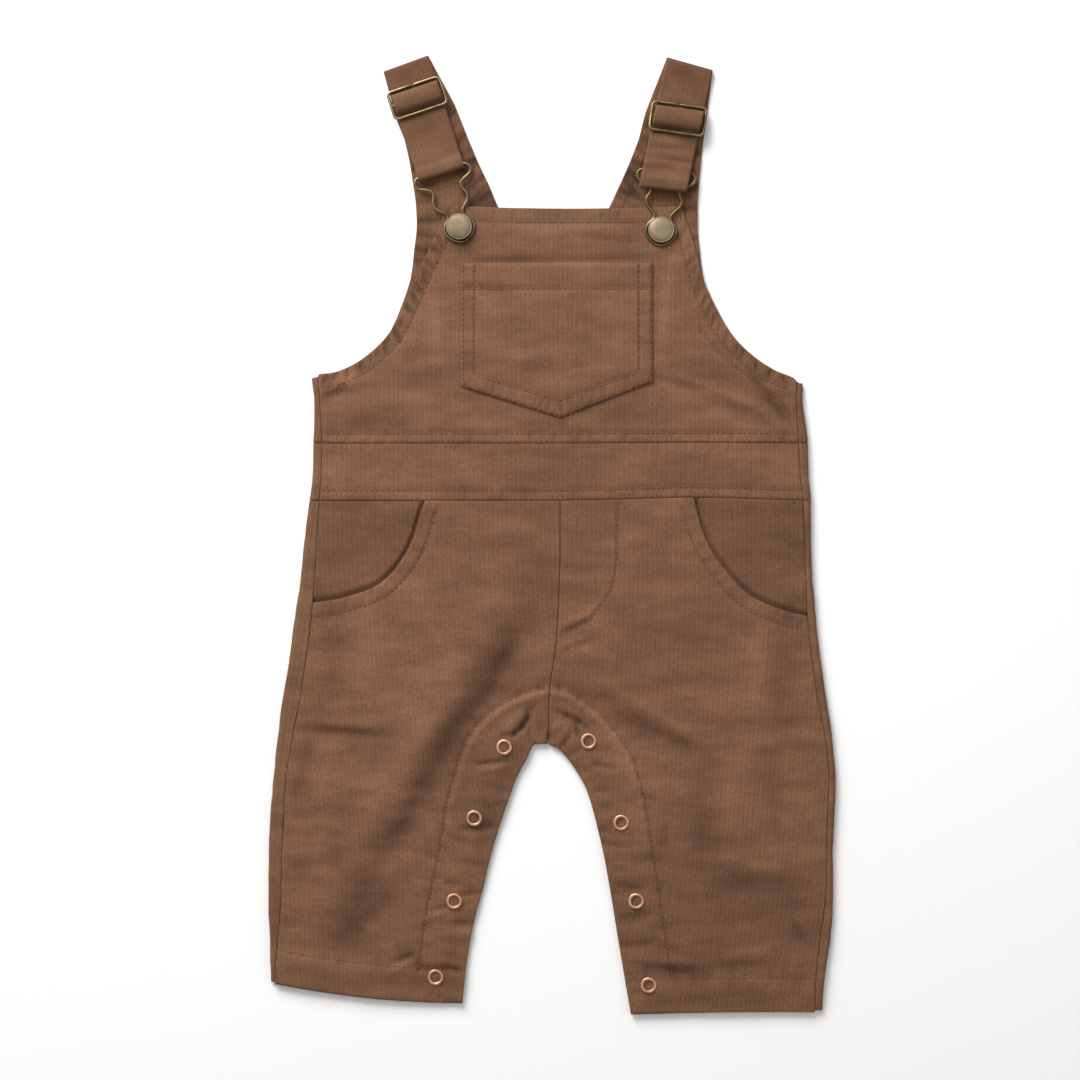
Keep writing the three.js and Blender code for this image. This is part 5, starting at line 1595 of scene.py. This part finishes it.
def tube(name, path, radius, material, closed=False, sides=14):
    """A round wire along a smooth line, with rounded ends where it isn't closed."""
    path = np.array(path, dtype=float)
    if closed:
        along = np.roll(path, -1, axis=0) - np.roll(path, 1, axis=0)
    else:
        along = np.gradient(path, axis=0)
    along /= np.linalg.norm(along, axis=1)[:, None]
    up = np.array([0.0, 0.0, 1.0])
    across = np.cross(along, up)
    across /= np.linalg.norm(across, axis=1)[:, None]
    normal = np.cross(across, along)
    size = np.full(len(path), radius)
    if not closed:
        for end, share in enumerate(END_ROUNDING):
            size[[end, -1 - end]] = radius * share
    turn = np.linspace(0, 2 * math.pi, sides, endpoint=False)
    points = (
        path[:, None]
        + across[:, None] * (size[:, None] * np.cos(turn))[:, :, None]
        + normal[:, None] * (size[:, None] * np.sin(turn))[:, :, None]
    ).reshape(-1, 3)
    index = np.arange(len(path) * sides).reshape(len(path), sides)
    rows = range(len(path) if closed else len(path) - 1)
    faces = []
    for row in rows:
        here, ahead = index[row], index[(row + 1) % len(path)]
        for column in range(sides):
            beside = (column + 1) % sides
            faces.append((here[column], here[beside], ahead[beside], ahead[column]))
    if not closed:
        faces.append(tuple(index[0][::-1]))
        faces.append(tuple(index[-1]))
    return smooth_object(name, points, [[int(corner) for corner in face] for face in faces], 50, material)


def turned_to(points, x, y, heading):
    """Points moved to a place on the garment and turned to a heading."""
    cos, sin = math.cos(math.radians(heading)), math.sin(math.radians(heading))
    points = np.array(points, dtype=float)
    return np.stack([
        x + points[:, 0] * cos - points[:, 1] * sin,
        y + points[:, 0] * sin + points[:, 1] * cos,
        points[:, 2],
    ], axis=1)


for side in SIGN:
    station, slider_heading = STRAPS[side]["slider"]
    slider_x, slider_y, _ = strap_at(side, station)
    half_width, half_length = SLIDER_HALF_WIDTH, SLIDER_HALF_LENGTH
    path = [(-SPLIT / 2, half_length)]
    path += [(x, half_length) for x in np.linspace(-1.5, -(half_width - SLIDER_CORNER), 8)]
    for centre_x, centre_y, first in ((-1, 1, 90), (-1, -1, 180), (1, -1, 270), (1, 1, 360)):
        for angle in np.linspace(first, first + 90, 8):
            path.append((
                centre_x * (half_width - SLIDER_CORNER) + SLIDER_CORNER * math.cos(math.radians(angle)),
                centre_y * (half_length - SLIDER_CORNER) + SLIDER_CORNER * math.sin(math.radians(angle)),
            ))
    path += [(x, half_length) for x in np.linspace(half_width - SLIDER_CORNER - 1, 1.5, 8)]
    path.append((SPLIT / 2, half_length))
    tilt = SLIDER_TOP_Z - SLIDER_FOOT_Z
    frame_path = [(x, y, SLIDER_FOOT_Z + tilt * (y + half_length) / (2 * half_length)) for x, y in path]
    bar_half = half_width - WIRE / 2 - 0.1
    bar_path = [(x, 0, SLIDER_BAR_Z) for x in np.linspace(-bar_half, bar_half, 12)]
    for piece_name, node_name, wire_path in (("wire", "frame", frame_path), ("middle", "bar", bar_path)):
        set_down = turned_to(wire_path, slider_x, slider_y, slider_heading)
        wire = tube(f"slider_{piece_name}_{side}", set_down, WIRE / 2, brass)
        stands_for(wire, f"slider_{node_name}_{side}")


# Hooks
# One wire bent into a closed loop: a bar in the strap's end, two ears, the eye that the button passes
# through, and a narrower foot that holds the button's shank.
HOOK = (
    (12.2, 31.9), (14.6, 31.1), (15.6, 28.6), (14.3, 26.1), (10.6, 24.3), (8.0, 22.3),
    (8.2, 19.4), (9.5, 16.6), (9.0, 13.4), (6.4, 10.4), (4.4, 7.9), (4.8, 5.4),
    (7.2, 2.8), (8.1, -0.4), (7.0, -3.8), (4.2, -6.6),
)
HOOK_FOOT = (0.0, -8.3)


def loop_through(points, steps):
    """A smooth closed line through plan points."""
    points = np.array(points, dtype=float)
    before, after, beyond = (np.roll(points, shift, axis=0) for shift in (1, -1, -2))
    t = np.linspace(0, 1, steps, endpoint=False)[:, None]
    pieces = []
    for p0, p1, p2, p3 in zip(before, points, after, beyond):
        reach = np.linalg.norm(p2 - p1)
        slope_1 = (p2 - p0) / (np.linalg.norm(p2 - p1) + np.linalg.norm(p1 - p0)) * reach
        slope_2 = (p3 - p1) / (np.linalg.norm(p3 - p2) + np.linalg.norm(p2 - p1)) * reach
        pieces.append(
            (2 * t**3 - 3 * t**2 + 1) * p1 + (t**3 - 2 * t**2 + t) * slope_1
            + (3 * t**2 - 2 * t**3) * p2 + (t**3 - t**2) * slope_2
        )
    return np.concatenate(pieces)


for side, (x, y, heading) in BUTTONS.items():
    loop_points = [*HOOK, HOOK_FOOT, *((-across, along) for across, along in reversed(HOOK))]
    loop = loop_through(loop_points, 6)
    loop = np.concatenate([loop, np.full((len(loop), 1), HOOK_Z)], axis=1)
    hook = tube(f"hook_wire_{side}", turned_to(loop, x, y, heading), WIRE / 2, brass, closed=True)
    stands_for(hook, f"hook_{side}")


# Buttons
# Plain domed caps of brushed nickel-brass on a shank through the bib, with a thin rolled rim.
BUTTON_RADIUS = 7.2
button_brass = metal("brushed_button", (0.33, 0.252, 0.172), (0.27, 0.207, 0.142), 0.68, 0.1, 120.0)


def lathed(name, profile, x, y, base, material, sides=56):
    """A turned form about the upright through a place, from radii and heights."""
    turn = np.linspace(0, 2 * math.pi, sides, endpoint=False)
    points, rings = [], []
    for radius, z in profile:
        if radius == 0:
            rings.append([len(points)] * sides)
            points.append((x, y, base + z))
            continue
        rings.append(list(range(len(points), len(points) + sides)))
        points += [(x + radius * math.cos(t), y + radius * math.sin(t), base + z) for t in turn]
    faces = []
    for lower, upper in zip(rings[:-1], rings[1:]):
        for column in range(sides):
            beside = (column + 1) % sides
            face = [lower[column], lower[beside], upper[beside], upper[column]]
            faces.append(tuple(dict.fromkeys(face)))
    return smooth_object(name, points, faces, 45, material)


CAP_BASE = HOOK_Z + WIRE / 2 + SEAM_GAP
for side, (x, y, _) in BUTTONS.items():
    seat = float(front_over(np.array([x]), np.array([y]))[0]) + SEAM_GAP - CAP_BASE
    steps = np.linspace(0, math.pi / 2, 9)[:-1]
    dome = [(6.1 * math.cos(angle), 1.35 + 0.95 * math.sin(angle)) for angle in steps]
    profile = [
        (0, seat), (3.4, seat), (3.4, seat + 0.5), (2.6, seat + 0.7), (2.6, 0.0), (6.6, 0.0), (7.05, 0.2),
        (BUTTON_RADIUS, 0.65), (7.05, 1.1), (6.7, 1.35), (6.3, 1.25), *dome, (0, 2.3),
    ]
    cap = lathed(f"button_cap_{side}", profile, x, y, CAP_BASE, button_brass)
    stands_for(cap, f"button_{side}")


# Snaps of the inseam
# Open rings of rose copper, four on each leg, clinched through the placket. Cloth shows inside them.
SNAP_RADIUS = 4.3
SNAP_HOLE = 2.75
SNAP_HEIGHT = 0.8
SNAP_SINK = 0.05
INLAND = 5.0  # a distance from the cloth's edge at which it isn't rounded
SNAPS = {
    "left": ((-25.9, -114.8), (-42.1, -153.1), (-52.9, -197.9), (-62.9, -239.0)),
    "right": ((19.7, -111.5), (37.3, -155.5), (45.4, -197.9), (52.1, -243.3)),
}
copper = metal("rose_copper", (0.74, 0.43, 0.29), (0.56, 0.29, 0.18), 0.45, 0.15, 200.0)
for side, places in SNAPS.items():
    outer = front_stitches[f"front_leg_{side}"][1]
    for number, (x, y) in enumerate(places, start=1):
        turn = np.linspace(0, 2 * math.pi, 12, endpoint=False)
        rim_x, rim_y = x + SNAP_RADIUS * np.cos(turn), y + SNAP_RADIUS * np.sin(turn)
        seat = float(np.max(outer(rim_x, rim_y, np.full(12, INLAND))[:, 2])) - SNAP_SINK
        middle, half = (SNAP_RADIUS + SNAP_HOLE) / 2, (SNAP_RADIUS - SNAP_HOLE) / 2
        section = [
            (middle + half * math.cos(angle), SNAP_HEIGHT / 2 + SNAP_HEIGHT / 2 * math.sin(angle))
            for angle in np.linspace(-math.pi / 2, 1.5 * math.pi, 17)
        ]
        ring = lathed(f"snap_ring_{side}_{number}", section, x, y, seat, copper, sides=40)
        stands_for(ring, f"snap_{side}_{number}")


# Topstitching
# Rows of lockstitch in brown thread along hems, plackets, pockets and waist. Each stitch is a short
# plump length of thread that dips into the cloth at both ends.
STITCH_PITCH = 2.9
STITCH_LENGTH = 2.2
THREAD = 0.42
THREAD_LIFT = 0.22
STITCH_SIZES = (0.86, 1.06)


def stitch_mesh():
    """One stitch: a bent spindle of thread, a unit long and a unit wide, with a few dozen faces."""
    stations, sides = 7, 6
    points = []
    for station in range(stations):
        t = station / (stations - 1)
        plump = 0.5 * math.sin(math.pi * (0.12 + 0.76 * t)) ** 0.6
        rise = 0.7 * math.sin(math.pi * t) - 0.35
        for side_number in range(sides):
            angle = 2 * math.pi * side_number / sides
            points.append((t - 0.5, plump * math.cos(angle), rise + plump * math.sin(angle)))
    faces = []
    for station in range(stations - 1):
        for side_number in range(sides):
            beside = (side_number + 1) % sides
            row, ahead = station * sides, (station + 1) * sides
            faces.append((row + side_number, ahead + side_number, ahead + beside, row + beside))
    faces.append(tuple(range(sides)))
    faces.append(tuple((stations - 1) * sides + k for k in reversed(range(sides))))
    mesh = bpy.data.meshes.new("stitch")
    mesh.from_pydata(points, [], faces)
    mesh.shade_smooth()
    return mesh


def stitch_tree():
    """Geometry nodes that set stitches along the edges of a mesh."""
    tree = bpy.data.node_groups.new("topstitch", "GeometryNodeTree")
    sockets = {}
    for socket_name, kind, value in (
        ("Path", "NodeSocketGeometry", None),
        ("Stitch pitch", "NodeSocketFloat", STITCH_PITCH * MM),
        ("Stitch length", "NodeSocketFloat", STITCH_LENGTH * MM),
        ("Thread width", "NodeSocketFloat", THREAD * MM),
        ("Seed", "NodeSocketInt", 7),
        ("Stitch", "NodeSocketObject", None),
        ("Thread", "NodeSocketMaterial", None),
    ):
        socket = tree.interface.new_socket(name=socket_name, in_out="INPUT", socket_type=kind)
        if value is not None:
            socket.default_value = value
        sockets[socket_name] = socket.identifier
    tree.interface.new_socket(name="Stitches", in_out="OUTPUT", socket_type="NodeSocketGeometry")
    given = tree.nodes.new("NodeGroupInput").outputs
    line = node(tree, "GeometryNodeMeshToCurve", Mesh=given["Path"])
    steps = node(
        tree, "GeometryNodeResampleCurve", {"mode": "LENGTH"},
        Curve=line.outputs[0], Length=given["Stitch pitch"],
    )
    heading = node(tree, "GeometryNodeInputTangent")
    turned = node(tree, "FunctionNodeAlignEulerToVector", {"axis": "X"}, Vector=heading.outputs[0])
    size = node(
        tree, "ShaderNodeCombineXYZ",
        X=given["Stitch length"], Y=given["Thread width"], Z=given["Thread width"],
    )
    vary = node(
        tree, "FunctionNodeRandomValue", {"data_type": "FLOAT"},
        _2=STITCH_SIZES[0], _3=STITCH_SIZES[1], Seed=given["Seed"],
    )
    sized = node(
        tree, "ShaderNodeVectorMath", {"operation": "SCALE"}, _0=size.outputs[0], Scale=vary.outputs[1]
    )
    shape = node(tree, "GeometryNodeObjectInfo", Object=given["Stitch"])
    spread = node(
        tree, "GeometryNodeInstanceOnPoints",
        Points=steps.outputs[0], Instance=shape.outputs["Geometry"],
        Rotation=turned.outputs[0], Scale=sized.outputs[0],
    )
    real = node(tree, "GeometryNodeRealizeInstances", Geometry=spread.outputs[0])
    painted = node(tree, "GeometryNodeSetMaterial", Geometry=real.outputs[0], Material=given["Thread"])
    result = tree.nodes.new("NodeGroupOutput")
    tree.links.new(painted.outputs[0], result.inputs[0])
    return tree, sockets


thread, thread_tree, thread_shader = principled("brown_thread", 0.6)
thread_shader.inputs["Specular IOR Level"].default_value = 0.25
twist = noise(thread_tree, 1500.0, 2.0, Vector=node(thread_tree, "ShaderNodeTexCoord").outputs["Object"])
thread_tone = two_tone(thread_tree, twist, (0.130, 0.062, 0.035), (0.215, 0.108, 0.063))
thread_tree.links.new(thread_tone, thread_shader.inputs["Base Color"])

tree, sockets = stitch_tree()
one_stitch = place("stitch_form", stitch_mesh())
for piece, (lines, face) in front_stitches.items():
    points, edges = [], []
    for line in lines:
        line = spaced(line, 1.0)
        lying = face(line[:, 0], line[:, 1], np.full(len(line), INLAND))
        # the row rides smoothly over the wales
        height = np.pad(lying[:, 2], 2, mode="edge")
        lying[:, 2] = np.convolve(height, np.ones(5) / 5, mode="valid") + THREAD_LIFT
        first = len(points)
        points += (lying * MM).tolist()
        edges += [(first + k, first + k + 1) for k in range(len(line) - 1)]
    path_mesh = bpy.data.meshes.new(f"{piece}_path")
    path_mesh.from_pydata(points, edges, [])
    path = place(f"{piece}_path", path_mesh)
    modifier = path.modifiers.new("topstitch", "NODES")
    modifier.node_group = tree
    modifier[sockets["Stitch"]] = one_stitch
    modifier[sockets["Thread"]] = thread
    seen = path.evaluated_get(bpy.context.evaluated_depsgraph_get())
    stitches = bpy.data.meshes.new_from_object(seen)
    path.modifiers.clear()
    bpy.data.objects.remove(path)
    stitches.name = f"{piece}_topstitch"
    sewn_piece = place(f"{piece}_topstitch", stitches)
    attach(sewn_piece, "root")
bpy.data.objects.remove(one_stitch)
